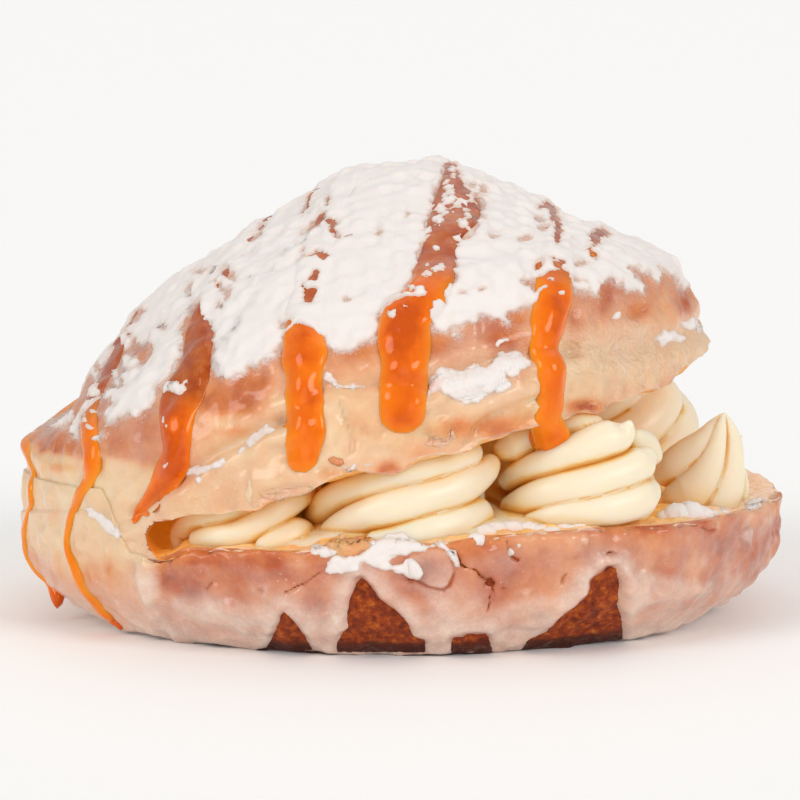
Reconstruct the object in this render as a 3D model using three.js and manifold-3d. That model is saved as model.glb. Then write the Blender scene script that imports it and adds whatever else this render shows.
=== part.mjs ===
// A cream-filled cinnamon roll, split like a clam shell and hinged at its left end, with thick
// caramel drizzle over its domed lid. Millimetres, +Z up. The origin is on the table under the
// middle of the roll, +X runs from the uncut end to the open end, and -Y is the side shown.
import * as THREE from 'three';
import { mergeVertices } from 'three/addons/utils/BufferGeometryUtils.js';
import Module from 'manifold-3d';

const { Manifold, Mesh: SolidMesh } = await (async () => {
  const library = await Module();
  library.setup();
  return library;
})();

// ---- driving dimensions -------------------------------------------------------------------

const lowerCutHeight = 19.8; // top face of the lower half, away from the hinge
const lowerCutRise = 0.06; // the lower half thins by this slope towards the hinge
const lidHeightAtMiddle = 30.3; // underside of the lid, above the origin
const lidRise = 0.265; // the lid opens by this slope, about 15 degrees
const lidLevelFrom = 47; // beyond this the underside of the lid is level
const hingeX = -41.5; // inner end of the split
const hingeGap = 4.6; // height of the split where it ends
const creaseUp = 11; // a crease runs round the lid this far above its edge, along the skin
const creaseDepth = 1.5;
const coilFrom = 27; // the first groove of the coil, along the skin from the lid's edge
const coilPitch = 17; // width of one turn of the rolled dough
const coilDepth = 1.3;
const coilStart = THREE.MathUtils.degToRad(150); // where the outer end of the dough lies
const grooveHalfWidth = 2.6;
const creamClearance = 0.35; // between the filling and the dough

// The outer skin is lofted through these rings. Each is an ellipse about (centre, 0) whose
// height follows its own x: height + rise * x + bend * x * x.
const rings = [
  { centre: 0, alongX: 48, alongY: 47, height: 0, rise: 0, bend: 0 }, // foot
  { centre: 0, alongX: 57, alongY: 55.5, height: 3, rise: 0, bend: 0 },
  { centre: 0, alongX: 62.5, alongY: 60.5, height: 8.5, rise: 0, bend: 0 },
  { centre: 0, alongX: 64.7, alongY: 62, height: 15, rise: 0, bend: 0 }, // belly
  { centre: 0, alongX: 64.8, alongY: 62.2, height: 19.5, rise: 0.02, bend: 0 }, // rim
  { centre: -5.6, alongX: 58.9, alongY: 60.5, height: 31.3, rise: 0.178, bend: 0.001 }, // lid's edge
  { centre: -5.6, alongX: 57, alongY: 59, height: 43, rise: 0.179, bend: -0.00046 },
  { centre: -3.2, alongX: 50.8, alongY: 52, height: 55.1, rise: 0.184, bend: -0.00236 }, // shoulder
  { centre: -0.5, alongX: 40.5, alongY: 40.5, height: 62.5, rise: 0.101, bend: -0.0029 },
  { centre: 1, alongX: 25, alongY: 25.5, height: 69.2, rise: 0.06, bend: -0.0049 },
  { centre: 4, alongX: 13, alongY: 13, height: 74, rise: 0, bend: -0.008 },
];
const undersideCentre = new THREE.Vector3(0, 0, 0);
const peak = new THREE.Vector3(6.5, 0, 76);
const lidEdgeRing = 5; // index of the lid's edge above

// ---- solids and geometries ----------------------------------------------------------------

function toSolid(geometry) {
  const bare = geometry.clone();
  bare.deleteAttribute('normal');
  bare.deleteAttribute('uv');
  const merged = mergeVertices(bare, 1e-4);
  const vertProperties = new Float32Array(merged.attributes.position.array);
  const triVerts = new Uint32Array(merged.index.array);
  return new Manifold(new SolidMesh({ numProp: 3, vertProperties, triVerts }));
}

function toGeometry(solid) {
  const { vertProperties, triVerts } = solid.getMesh();
  const geometry = new THREE.BufferGeometry();
  geometry.setAttribute('position', new THREE.BufferAttribute(vertProperties, 3));
  geometry.setIndex(new THREE.BufferAttribute(triVerts, 1));
  geometry.computeVertexNormals();
  return geometry;
}

// Closed surface over rows of points: rings of equal count between two end points.
function closedLoft(rows, start, end) {
  const columns = rows[0].length;
  const positions = [start, ...rows.flat(), end].flatMap((p) => p.toArray());
  const last = rows.length * columns + 1;
  const index = [];
  const at = (row, column) => 1 + row * columns + (column % columns);
  for (let c = 0; c < columns; c++) {
    index.push(0, at(0, c + 1), at(0, c));
    index.push(last, at(rows.length - 1, c), at(rows.length - 1, c + 1));
    for (let r = 0; r < rows.length - 1; r++) {
      index.push(at(r, c), at(r, c + 1), at(r + 1, c + 1));
      index.push(at(r, c), at(r + 1, c + 1), at(r + 1, c));
    }
  }
  const geometry = new THREE.BufferGeometry();
  geometry.setAttribute('position', new THREE.Float32BufferAttribute(positions, 3));
  geometry.setIndex(index);
  return geometry;
}

// ---- the outer skin -----------------------------------------------------------------------

function ringPoint(ring, angle) {
  const x = ring.centre + ring.alongX * Math.cos(angle);
  const z = ring.height + ring.rise * x + ring.bend * x * x;
  return new THREE.Vector3(x, ring.alongY * Math.sin(angle), Math.max(z, 0));
}

// A rounded groove: 1 in the middle, falling to 0 at its edges.
const groove = (distance) => Math.max(0, 1 - (distance / grooveHalfWidth) ** 2);

// How far the skin lies below the loft, for a point this far up from the lid's edge: the crease
// round the lid, and the groove between the turns of the rolled dough, which winds in to the peak.
function skinRelief(angle, climbed) {
  const turned = THREE.MathUtils.euclideanModulo(angle - coilStart, 2 * Math.PI) / (2 * Math.PI);
  const turns = (climbed - coilFrom) / coilPitch - turned;
  const fromGroove = (turns - Math.max(Math.round(turns), 0)) * coilPitch;
  return creaseDepth * groove(climbed - creaseUp) + coilDepth * groove(fromGroove);
}

function outerSkin(columns, rowCount) {
  const heart = new THREE.Vector3(0, 0, 30);
  const rows = Array.from({ length: rowCount }, () => []);
  for (let c = 0; c < columns; c++) {
    const angle = (2 * Math.PI * c) / columns;
    const stations = rings.map((ring) => ringPoint(ring, angle));
    const meridian = new THREE.CatmullRomCurve3([undersideCentre, ...stations, peak]);
    const lidFrom = (lidEdgeRing + 1) / (stations.length + 1);
    let climbed = 0;
    let before = null;
    for (let r = 0; r < rowCount; r++) {
      const along = 0.08 + (0.89 * r) / (rowCount - 1);
      const point = meridian.getPoint(along);
      climbed += along > lidFrom && before ? point.distanceTo(before) : 0;
      before = point.clone();
      const nearPeak = THREE.MathUtils.smoothstep(1 - along, 0.02, 0.1);
      const inwards = heart.clone().sub(point).normalize();
      point.addScaledVector(inwards, nearPeak * skinRelief(angle, climbed));
      point.z = Math.max(point.z, 0);
      rows[r].push(point);
    }
  }
  return closedLoft(rows, undersideCentre, peak);
}

// ---- the split, which the filling holds open ----------------------------------------------

const topOfLowerHalf = (x) => Math.min(lowerCutHeight, lowerCutHeight - 0.9 + lowerCutRise * x);
const undersideOfLid = (x) =>
  Math.max(lidHeightAtMiddle + lidRise * Math.min(x, lidLevelFrom), topOfLowerHalf(x) + hingeGap);

// The space between the halves, made smaller by a clearance on its faces.
function splitSpace(clearance) {
  const farX = 90;
  const halfWidth = 90;
  const box = new THREE.BoxGeometry(1, 1, 1, 14, 1, 1);
  const position = box.attributes.position;
  for (let i = 0; i < position.count; i++) {
    const along = position.getX(i) + 0.5;
    const y = position.getY(i) * 2 * halfWidth;
    const x = THREE.MathUtils.lerp(hingeX + clearance, farX, along ** 1.3);
    const low = topOfLowerHalf(x) + clearance;
    const high = undersideOfLid(x) - clearance;
    position.setXYZ(i, x, y, position.getZ(i) < 0 ? low : high);
  }
  return toSolid(box);
}

// ---- caramel drizzle ----------------------------------------------------------------------

// Each line was poured from the back over the lid to the front, where it ran down the side. The
// guide points lie near the skin, from the back end of the line to its front end.
const drizzleLines = [
  {
    halfWidth: 1.2,
    thick: 1.2,
    guide: [[-55, 26, 33], [-61, 8, 28], [-62, -14, 28], [-60, -23, 24], [-61, -20, 16], [-58, -14, 4]],
  },
  {
    halfWidth: 1.9,
    thick: 1.5,
    guide: [[-36, 46, 31], [-39, 28, 45], [-43, 2, 50], [-48, -22, 44], [-51, -33, 33], [-49.5, -40, 26],
      [-53, -36, 17], [-51, -31, 3.5]],
  },
  {
    halfWidth: 2.9,
    thick: 1.6,
    guide: [[-8, 57, 35], [-12, 40, 52], [-20, 8, 66], [-27, -21, 61], [-32, -40, 49], [-35, -49, 38], [-36, -51, 30],
      [-42, -47, 20]],
  },
  {
    halfWidth: 1,
    thick: 1,
    guide: [[-5, 40, 61], [-9, 20, 69], [-14, -6, 71], [-16, -24, 67]],
  },
  {
    halfWidth: 3.2,
    thick: 1.9,
    guide: [[9, 58, 43], [5, 40, 60], [-2, 10, 73], [-10, -28, 68], [-14, -50, 54], [-15, -58, 41], [-15.5, -60, 31]],
  },
  {
    halfWidth: 4,
    thick: 1.9,
    guide: [[18, 57, 40], [15, 40, 60], [10, 5, 75], [8, -28, 68], [3, -50, 57], [0.5, -58, 47], [0, -60, 37]],
  },
  {
    halfWidth: 3.2,
    thick: 1.7,
    guide: [[26, 50, 47], [25.5, 34, 61], [25, 0, 69.5], [26, -30, 65], [23.5, -49, 54], [24, -52, 45], [23, -52, 39]],
  },
  {
    halfWidth: 1.6,
    thick: 1.1,
    guide: [[37, 41, 51], [36, 22, 63], [33.5, -12, 65], [31, -33, 61]],
  },
];
const drizzleStep = 4.8;
const drizzleSides = 7;
const drizzleRoot = 3; // how far a line reaches into the dough, past any groove it bridges

// Casts a ray at the skin from outside, through `near`, towards the middle of the dough.
function onSkin(skin, near) {
  const inside = new THREE.Vector3(near.x * 0.62, near.y * 0.25, Math.min(near.z, 52) * 0.55 + 12);
  const inwards = inside.clone().sub(near).normalize();
  const start = near.clone().addScaledVector(inwards, -60);
  const [hit] = new THREE.Raycaster(start, inwards).intersectObject(skin);
  return { point: hit.point, normal: hit.face.normal.clone() };
}

function drizzle(skin, line) {
  const guide = new THREE.CatmullRomCurve3(line.guide.map((p) => new THREE.Vector3(...p)));
  const steps = Math.ceil(guide.getLength() / drizzleStep);
  const stations = guide.getSpacedPoints(steps).map((near) => onSkin(skin, near));
  const rows = stations.map(({ point, normal }, i) => {
    const ahead = stations[Math.min(i + 1, steps)].point;
    const behind = stations[Math.max(i - 1, 0)].point;
    const along = ahead.clone().sub(behind).normalize();
    const across = new THREE.Vector3().crossVectors(normal, along).normalize();
    const bead = 1 + 0.12 * Math.sin(i * 1.7);
    return Array.from({ length: drizzleSides }, (_, k) => {
      const turn = (2 * Math.PI * k) / drizzleSides;
      const reach = Math.sin(turn) > 0 ? line.thick : drizzleRoot;
      return point
        .clone()
        .addScaledVector(across, line.halfWidth * bead * Math.cos(turn))
        .addScaledVector(normal, reach * Math.sin(turn));
    });
  });
  const tip = (i) => stations[i].point.clone().addScaledVector(stations[i].normal, -0.3);
  const overrun = (i, from) => tip(i).add(tip(i).sub(tip(from)).setLength(line.halfWidth * 0.7));
  return toSolid(closedLoft(rows, overrun(0, 1), overrun(steps, steps - 1)));
}

// ---- piped cream --------------------------------------------------------------------------

const rosetteLobes = 5;
const rosetteTwist = 0.8; // turns from the foot of a rosette to its tip
const grooveDepth = 0.24;
const tipLean = 6; // the rosettes at the open end lean out
const rosettes = [
  { x: -27, y: -35, radius: 13.5, pointed: false },
  { x: 0, y: -42.5, radius: 15.5, pointed: false },
  { x: 28.5, y: -34, radius: 14.5, pointed: false },
  { x: 48, y: -11, radius: 12, pointed: true },
  { x: 40, y: 20, radius: 13.5, pointed: true },
  { x: 15, y: 40, radius: 14, pointed: false },
  { x: -13, y: 41, radius: 14, pointed: false },
  { x: -31, y: 18, radius: 10, pointed: false },
  { x: 16, y: -8, radius: 15, pointed: false },
  { x: 10, y: 17, radius: 15, pointed: false },
  { x: -14, y: 2, radius: 15, pointed: false },
];

function rosette({ x, y, radius, pointed }) {
  const columns = 20;
  const rowCount = 8;
  const lean = pointed ? tipLean : 0;
  const bottom = lowerCutHeight - 1;
  const gap = undersideOfLid(x) - bottom;
  const height = Math.min(gap + 1.5, pointed ? 16.5 : 21);
  const rows = [];
  for (let r = 0; r < rowCount; r++) {
    const up = r / (rowCount - 0.35);
    const swell = pointed ? 1 - 0.9 * up ** 1.5 : Math.sqrt(1 - 0.86 * up ** 3);
    const foot = r === 0 ? 0.9 : 1;
    rows.push(
      Array.from({ length: columns }, (_, c) => {
        const angle = (2 * Math.PI * c) / columns;
        const lobe = Math.abs(Math.sin((rosetteLobes * angle) / 2 - rosetteTwist * rosetteLobes * Math.PI * up));
        const reach = radius * swell * foot * (1 - grooveDepth * (1 - lobe ** 0.7));
        const middle = x + lean * up ** 2;
        return new THREE.Vector3(middle + reach * Math.cos(angle), y + reach * Math.sin(angle), bottom + height * up);
      }),
    );
  }
  const foot = new THREE.Vector3(x, y, bottom);
  const tip = new THREE.Vector3(x + lean, y, bottom + height);
  return toSolid(closedLoft(rows, foot, tip));
}

function creamBed() {
  const bed = new THREE.CylinderGeometry(46, 47, 8, 40);
  bed.rotateX(Math.PI / 2);
  bed.translate(3, 0, lowerCutHeight);
  return toSolid(bed);
}

// ---- the roll -----------------------------------------------------------------------------

const skin = new THREE.Mesh(outerSkin(72, 32));
const split = splitSpace(0);
const caramel = drizzleLines.map((line) => drizzle(skin, line));
const dough = toSolid(skin.geometry).subtract(split);
const bunSolid = Manifold.union([dough, ...caramel]).subtract(splitSpace(0));
const filling = Manifold.union([creamBed(), ...rosettes.map(rosette)]);
const creamSolid = filling.intersect(splitSpace(creamClearance));

const crust = new THREE.MeshStandardMaterial({ color: '#dba887', roughness: 0.45, metalness: 0 });
const buttercream = new THREE.MeshStandardMaterial({ color: '#f6e1c0', roughness: 0.5, metalness: 0 });

const bun = new THREE.Mesh(toGeometry(bunSolid), crust);
bun.name = 'bun';
const cream = new THREE.Mesh(toGeometry(creamSolid), buttercream);
cream.name = 'cream';

const roll = new THREE.Group();
roll.add(bun, cream);

export default roll;
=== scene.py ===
# A cream-filled cinnamon roll: glazed dough split like a clam shell, caramel lines over the lid,
# powdered sugar on top and piped cream inside. Shapes are worked out in millimetres in the CAD
# frame and become metres when a piece is made.
import math

import bpy
import numpy as np
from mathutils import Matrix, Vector
from mathutils.bvhtree import BVHTree


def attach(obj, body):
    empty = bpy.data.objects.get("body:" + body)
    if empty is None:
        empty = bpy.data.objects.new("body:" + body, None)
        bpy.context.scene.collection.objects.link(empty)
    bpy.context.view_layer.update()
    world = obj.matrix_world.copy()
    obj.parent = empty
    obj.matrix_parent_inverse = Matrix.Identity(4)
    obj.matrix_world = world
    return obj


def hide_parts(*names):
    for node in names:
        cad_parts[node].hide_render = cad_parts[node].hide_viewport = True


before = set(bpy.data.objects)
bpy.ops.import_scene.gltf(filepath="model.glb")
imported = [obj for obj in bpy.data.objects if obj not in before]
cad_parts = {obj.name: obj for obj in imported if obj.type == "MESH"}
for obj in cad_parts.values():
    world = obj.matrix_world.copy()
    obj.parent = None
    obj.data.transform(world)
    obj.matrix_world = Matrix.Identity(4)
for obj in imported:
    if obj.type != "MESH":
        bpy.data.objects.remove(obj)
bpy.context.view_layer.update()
millimetre = 0.001
print("stage: frame loaded")

# The photograph's view: 800 pixels across, level with +X to the right, from a little above.
view = {"target": (0, 0, 34.5), "distance": 650, "elevation": 6.5, "widthSeen": 136.8}
tilt = math.radians(view["elevation"])
lookAlong = np.array([0, math.cos(tilt), -math.sin(tilt)])
lookUp = np.array([0, math.sin(tilt), math.cos(tilt)])
eye = np.array(view["target"]) - lookAlong * view["distance"]
pixelSize = 0.158  # a pixel's width in mm on the front of the roll


def smoothStep(value, low, high):
    t = np.clip((value - low) / (high - low), 0, 1)
    return t * t * (3 - 2 * t)


def bell(value, middle, width):
    return np.exp(-(((value - middle) / width) ** 2))


def unit(vectors):
    return vectors / np.maximum(np.linalg.norm(vectors, axis=-1, keepdims=True), 1e-9)


# Random number from 0 to 1 at each corner of a lattice.
def cornerValue(cell, seed):
    mixed = (cell[..., 0] * 73856093) ^ (cell[..., 1] * 19349663) ^ (cell[..., 2] * 83492791)
    mixed = (mixed ^ (seed * 2654435761)) & 0xFFFFFFFF
    for _ in range(2):
        mixed = (((mixed >> 16) ^ mixed) * 0x45D9F3B) & 0xFFFFFFFF
    return ((mixed >> 16) ^ mixed) / 0xFFFFFFFF


# Smooth noise from -1 to 1, with features about `size` millimetres across.
def noise(points, size, seed):
    scaled = points / size
    cell = np.floor(scaled).astype(np.int64)
    t = scaled - cell
    t = t * t * t * (t * (t * 6 - 15) + 10)
    total = 0
    for corner in np.ndindex(2, 2, 2):
        offset = np.array(corner)
        weight = np.prod(np.where(offset == 1, t, 1 - t), axis=-1)
        total = total + weight * cornerValue(cell + offset, seed)
    return total * 2 - 1


def fractal(points, size, seed, octaves=4, gain=0.5):
    return sum(noise(points, size / 2**k, seed + k) * gain**k for k in range(octaves))


def seenAt(points):
    away = points - eye
    scale = view["distance"] / (away @ lookAlong) * 800 / view["widthSeen"]
    return np.stack([400 + away[..., 0] * scale, 400 - (away @ lookUp) * scale], -1)


# The ray from the photograph's eye through a place in its frame.
def rayTo(x, y):
    scale = view["widthSeen"] / 800 / view["distance"]
    return unit(lookAlong + np.array([1.0, 0, 0]) * (x - 400) * scale - lookUp * (y - 400) * scale)


# 1 where the skin faces the photograph's view, 0 where it faces away.
def facing(points, outward):
    turned = -(unit(points - eye) * outward).sum(-1)
    return smoothStep(turned, 0.0, 0.14) * smoothStep(-points[..., 1], -25, -8)


# Distance from each place to a drawn line, whether it lies below the line, and how far along.
def nearLine(at, line, reach, closed=False):
    flat = at.reshape(-1, 2)
    corners = np.array(line, float)
    starts, ends = (corners, np.roll(corners, -1, 0)) if closed else (corners[:-1], corners[1:])
    away = np.full(len(flat), float(reach))
    side = np.full(len(flat), -1.0)
    low, high = corners.min(0) - reach, corners.max(0) + reach
    near = np.where(((flat > low) & (flat < high)).all(1))[0]
    for part in np.array_split(near, max(len(near) // 12000, 1)):
        if not len(part):
            continue
        p = flat[part][:, None]
        edge = (ends - starts)[None]
        fromStart = p - starts[None]
        t = np.clip((fromStart * edge).sum(-1) / (edge**2).sum(-1), 0, 1)
        gap = np.linalg.norm(fromStart - t[..., None] * edge, axis=-1)
        best = gap.argmin(1)
        pick = np.arange(len(part))
        away[part] = np.minimum(gap[pick, best], reach)
        if closed:
            crosses = (starts[None, :, 1] > p[..., 1]) != (ends[None, :, 1] > p[..., 1])
            rise = np.where(edge[..., 1] == 0, 1e-9, edge[..., 1])
            hit = fromStart[..., 1] / rise * edge[..., 0] + starts[None, :, 0]
            side[part] = np.where((crosses & (p[..., 0] < hit)).sum(1) % 2 == 1, 1.0, -1.0)
        else:
            turn = edge[..., 0] * fromStart[..., 1] - edge[..., 1] * fromStart[..., 0]
            side[part] = np.sign(turn[pick, best] + 1e-12)
    return away.reshape(at.shape[:-1]), side.reshape(at.shape[:-1])


# Millimetres inside a drawn outline, negative outside it.
def insideOutline(at, outline, reach=14):
    away, side = nearLine(at, outline, reach, closed=True)
    return np.where(side > 0, away, -away) * pixelSize


def insideAny(at, outlines, reach=14):
    return np.maximum.reduce([insideOutline(at, outline, reach) for outline in outlines])


def spot(x, y, reachX, reachY, corners=9):
    turn = 2 * math.pi * np.arange(corners) / corners
    wobble = 1 + 0.22 * np.sin(turn * 3 + x) + 0.12 * np.cos(turn * 2 + y)
    return list(zip(x + reachX * wobble * np.cos(turn), y + reachY * wobble * np.sin(turn)))


# Rings of the loft, as in the CAD source: centre, half length, half width, then the height's
# value at x = 0, its slope and its bend along x.
skinShape = {
    "rings": [
        (0, 48, 47, 0, 0, 0),
        (0, 57, 55.5, 3, 0, 0),
        (0, 62.5, 60.5, 8.5, 0, 0),
        (0, 64.7, 62, 15, 0, 0),
        (0, 64.8, 62.2, 19.5, 0.02, 0),
        (-5.6, 58.9, 60.5, 31.3, 0.178, 0.001),
        (-5.6, 57, 59, 43, 0.179, -0.00046),
        (-3.2, 50.8, 52, 55.1, 0.184, -0.00236),
        (-0.5, 40.5, 40.5, 62.5, 0.101, -0.0029),
        (1, 25, 25.5, 69.2, 0.06, -0.0049),
        (4, 13, 13, 74, 0, -0.008),
    ],
    "peak": (6.5, 0, 75.6),
    "lidEdgeRing": 5,
    "coilFrom": 27,
    "coilPitch": 17,
    "coilDepth": 0.9,
    "coilStart": math.radians(150),
    "dip": 1.1,  # how far the lumps sink the skin below the loft on the whole
    # How far up the lid's wall its crease runs behind, by direction round the roll in degrees.
    "creaseBehind": ([-180, -25, 20, 90, 150, 180], [10, 6, 8, 11, 12, 10]),
    # Creases drawn on the front: line, width, depth, how far the upper and lower lips stand out.
    "creases": [
        ([(18, 458), (32, 474), (45, 482), (58, 485), (70, 481), (82, 473)], 1.4, 0.5, 0.5, 0.0),
        ([(136, 514), (150, 500), (165, 488), (178, 481), (188, 475), (203, 463), (217, 452), (232, 445),
          (248, 437), (262, 428), (280, 421)], 1.0, 1.5, 0.5, 0.9),
        ([(280, 421), (300, 412), (318, 392), (326, 384), (340, 388), (355, 388), (368, 384), (385, 384),
          (405, 388), (428, 386)], 0.8, 0.9, 0.6, 0.5),
        ([(428, 386), (440, 376), (460, 372), (480, 366), (500, 357), (520, 355), (545, 352), (575, 350)],
          1.2, 1.3, 0.3, 1.0),
        ([(575, 350), (600, 352), (630, 347), (655, 342), (675, 338), (695, 328), (714, 318)], 1.6, 0.8,
          0.5, 0.5),
        ([(340, 403), (343, 415), (348, 428), (352, 440), (351, 450)], 0.45, 0.7, 0.3, 0.1),
        ([(360, 427), (368, 433), (380, 434)], 0.4, 0.6, 0.2, 0.0),
        ([(474, 430), (485, 420), (495, 413), (510, 408), (525, 402), (540, 397)], 0.6, 0.9, 0.7, -0.3),
        ([(424, 433), (435, 439), (445, 441), (452, 436), (450, 428)], 0.5, 0.7, 0.4, 0.2),
        ([(255, 505), (262, 497), (275, 494), (290, 489), (312, 487)], 0.5, 0.5, 0.4, 0.3),
        ([(322, 470), (332, 465), (343, 469), (350, 476)], 0.5, 0.6, 0.3, 0.5),
        ([(150, 330), (160, 323), (175, 322)], 0.7, 0.4, 0.1, 0.1),
        ([(233, 286), (245, 281), (257, 278), (268, 277), (279, 276), (288, 270), (296, 266)], 0.5, 0.7,
          0.2, 0.2),
    ],
    # A burst blister on the lid's wall and other hollows: outline and depth.
    "hollows": [
        ([(624, 309), (630, 303), (640, 301), (646, 306), (648, 313), (643, 320), (632, 322), (624, 318)],
          1.0),
        (spot(262, 590, 7, 6), 0.5),
    ],
    # Broad dents in the lid: middle, reach along each axis and depth.
    "dents": [
        ((-59.5, -8, 36.5), (5, 26, 5.5), 4.2), ((50, -6, 57), (5, 16, 6), 1.9),
        ((-65, -4, 14), (6, 30, 14), 1.2),
    ],
}
stopCount = len(skinShape["rings"]) + 2
lidFrom = (skinShape["lidEdgeRing"] + 1) / (stopCount - 1)


def loftStops(angle):
    stops = [np.zeros((angle.size, 3))]
    for centre, alongX, alongY, height, rise, bend in skinShape["rings"]:
        x = centre + alongX * np.cos(angle)
        z = np.maximum(height + rise * x + bend * x * x, 0)
        stops.append(np.stack([x, alongY * np.sin(angle), z], -1))
    stops.append(np.broadcast_to(skinShape["peak"], (angle.size, 3)))
    return np.array(stops)


# A smooth curve through the stops, where along goes from 0 at the first to 1 at the last.
def throughStops(stops, along):
    count = len(stops)
    place = np.clip(along, 0, 1) * (count - 1)
    index = np.clip(np.floor(place), 0, count - 2).astype(int)
    t = (place - index)[..., None]
    more = np.concatenate([2 * stops[:1] - stops[1:2], stops, 2 * stops[-1:] - stops[-2:-1]])
    a, b, c, d = (np.take_along_axis(more, (index + k)[..., None], axis=0) for k in range(4))
    gaps = [np.linalg.norm(q - p, axis=-1, keepdims=True) for p, q in ((a, b), (b, c), (c, d))]
    ab, bc, cd = (np.sqrt(np.maximum(gap, 1e-4)) for gap in gaps)
    leave = ((b - a) / ab - (c - a) / (ab + bc) + (c - b) / bc) * bc
    arrive = ((c - b) / bc - (d - b) / (bc + cd) + (d - c) / cd) * bc
    bend = 3 * (c - b) - 2 * leave - arrive
    return b + leave * t + bend * t**2 + (2 * (b - c) + leave + arrive) * t**3


def distanceAlong(points):
    return np.append(0, np.cumsum(np.linalg.norm(np.diff(points[:, :3], axis=0), axis=1)))


def groove(distance, halfWidth):
    return np.maximum(0, 1 - (distance / halfWidth) ** 2)


# Height of the real surface above the smooth loft: creases, coil and the lumps of risen dough.
def skinRelief(points, outward, angle, climbed):
    front = facing(points, outward)
    at = seenAt(points)
    around = (np.degrees(angle) + 180) % 360 - 180
    fromCrease = climbed - np.interp(around, *skinShape["creaseBehind"]) - 0.8 * noise(points, 9, 3)
    behind = 0.7 * bell(fromCrease, -2.6, 2.4) - 1.4 * groove(fromCrease, 1.8)
    relief = behind * (climbed > 0) * (1 - front)
    for line, width, depth, upper, lower in skinShape["creases"]:
        away, below = nearLine(at, line, 26)
        away = away * pixelSize + 0.25 * noise(points, 2.2, 5)
        lip = np.where(below > 0, lower, upper) * bell(away, 1.6 + width, 1.6)
        relief = relief + front * (lip - depth * bell(away, 0, width))
    for outline, depth in skinShape["hollows"]:
        relief = relief - front * depth * smoothStep(insideOutline(at, outline), -0.1, 0.9)
    turned = np.mod(angle - skinShape["coilStart"], 2 * math.pi) / (2 * math.pi)
    turns = (climbed - skinShape["coilFrom"]) / skinShape["coilPitch"] - turned
    fromCoil = (turns - np.maximum(np.round(turns), 0)) * skinShape["coilPitch"]
    coil = skinShape["coilDepth"] * groove(fromCoil, 3) * smoothStep(climbed, 20, 28)
    relief = relief - coil * (1 - 0.7 * front)
    small = 1 - 0.65 * smoothStep(climbed, 12, 22)
    lumps = small * (0.38 * noise(points, 9, 12) + 0.08 * noise(points, 3.6, 13))
    lumps = lumps + 0.6 * noise(points, 21, 11) - skinShape["dip"]
    # The wet glaze at the right of the lid's wall is finely rippled.
    ripples = bell(at[..., 0], 615, 75) * bell(at[..., 1], 352, 40)
    lumps = lumps + 0.24 * front * noise(points, 2.6, 14) * ripples
    for middle, reach, depth in skinShape["dents"]:
        lumps = lumps - depth * np.exp(-(((points - middle) / reach) ** 2).sum(-1))
    return relief + lumps * smoothStep(points[..., 2], 0.5, 5)


# Points and outward directions of the skin, for columns at these angles.
def skin(angle, along):
    stops = loftStops(angle)
    smooth = throughStops(stops, along)
    small = 2e-3
    upwards = throughStops(stops, along + small) - throughStops(stops, along - small)
    ahead, back = (throughStops(loftStops(angle + turn), along) for turn in (small, -small))
    sideways = ahead - back
    outward = unit(np.cross(sideways, upwards))
    trail = np.linspace(lidFrom, 1, 200)
    path = throughStops(stops, np.repeat(trail[:, None], angle.size, 1))
    steps = np.linalg.norm(np.diff(path, axis=0), axis=-1)
    gone = np.vstack([np.zeros(angle.size), np.cumsum(steps, axis=0)])
    climbed = np.stack([np.interp(along[:, c], trail, gone[:, c]) for c in range(angle.size)], 1)
    points = smooth + outward * skinRelief(smooth, outward, angle[None, :], climbed)[..., None]
    points[..., 2] = np.maximum(points[..., 2], 0)
    return points, outward


# Angles round the roll, closer together on the front than on the back.
def roundAngles(count, frontShare=0.6):
    t = np.arange(count) / count * 2 * math.pi
    return t - math.pi / 2 + (2 * frontShare - 1) * -np.sin(t)


def degreesRound(points, centreX=0.0):
    return np.degrees(np.arctan2(points[..., 1], points[..., 0] - centreX))


def gridFaces(rows, columns, wraps, first=0, flip=False):
    index = first + np.arange(rows * columns).reshape(rows, columns)
    if wraps:
        index = np.hstack([index, index[:, :1]])
    faces = np.stack([index[:-1, :-1], index[:-1, 1:], index[1:, 1:], index[1:, :-1]], -1).reshape(-1, 4)
    return faces[:, ::-1] if flip else faces


def makePiece(name, points, faces, material):
    mesh = bpy.data.meshes.new(name)
    places = np.asarray(points).reshape(-1, 3) * millimetre
    mesh.from_pydata(places.tolist(), [], [tuple(map(int, face)) for face in faces])
    mesh.shade_smooth()
    piece = bpy.data.objects.new(name, mesh)
    bpy.context.scene.collection.objects.link(piece)
    piece.data.materials.append(material)
    return piece


# A skin closed by a second surface behind it. Both are grids of rows and columns of points.
def closedShell(front, back, wraps=True):
    rows, columns = front.shape[:2]
    backRows = back.shape[0]
    start = rows * columns
    points = np.concatenate([front.reshape(-1, 3), back.reshape(-1, 3)])
    frontIndex = np.arange(start).reshape(rows, columns)
    backIndex = start + np.arange(backRows * columns).reshape(backRows, columns)
    faces = [gridFaces(rows, columns, wraps), gridFaces(backRows, columns, wraps, start, flip=True)]
    for low, high in ((backIndex[0], frontIndex[0]), (frontIndex[-1], backIndex[-1])):
        if wraps:
            low, high = np.append(low, low[0]), np.append(high, high[0])
        faces.append(np.stack([low[:-1], low[1:], high[1:], high[:-1]], -1))
    faces = [tuple(face) for group in faces for face in group]
    if not wraps:
        for column, flip in ((0, False), (-1, True)):
            loop = list(frontIndex[:, column]) + list(backIndex[::-1, column])
            faces.append(tuple(loop[::-1] if flip else loop))
    return points, faces


# Tubes and mounds: a grid of rings closed with a fan at each end.
def closedRings(rings, first, last):
    rows, columns = rings.shape[:2]
    faces = [tuple(face) for face in gridFaces(rows, columns, True)]
    points = np.vstack([rings.reshape(-1, 3), first, last])
    start, end = rows * columns, rows * columns + 1
    for c in range(columns):
        after = (c + 1) % columns
        faces.append((start, after, c))
        faces.append((end, (rows - 1) * columns + c, (rows - 1) * columns + after))
    return points, faces


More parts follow.
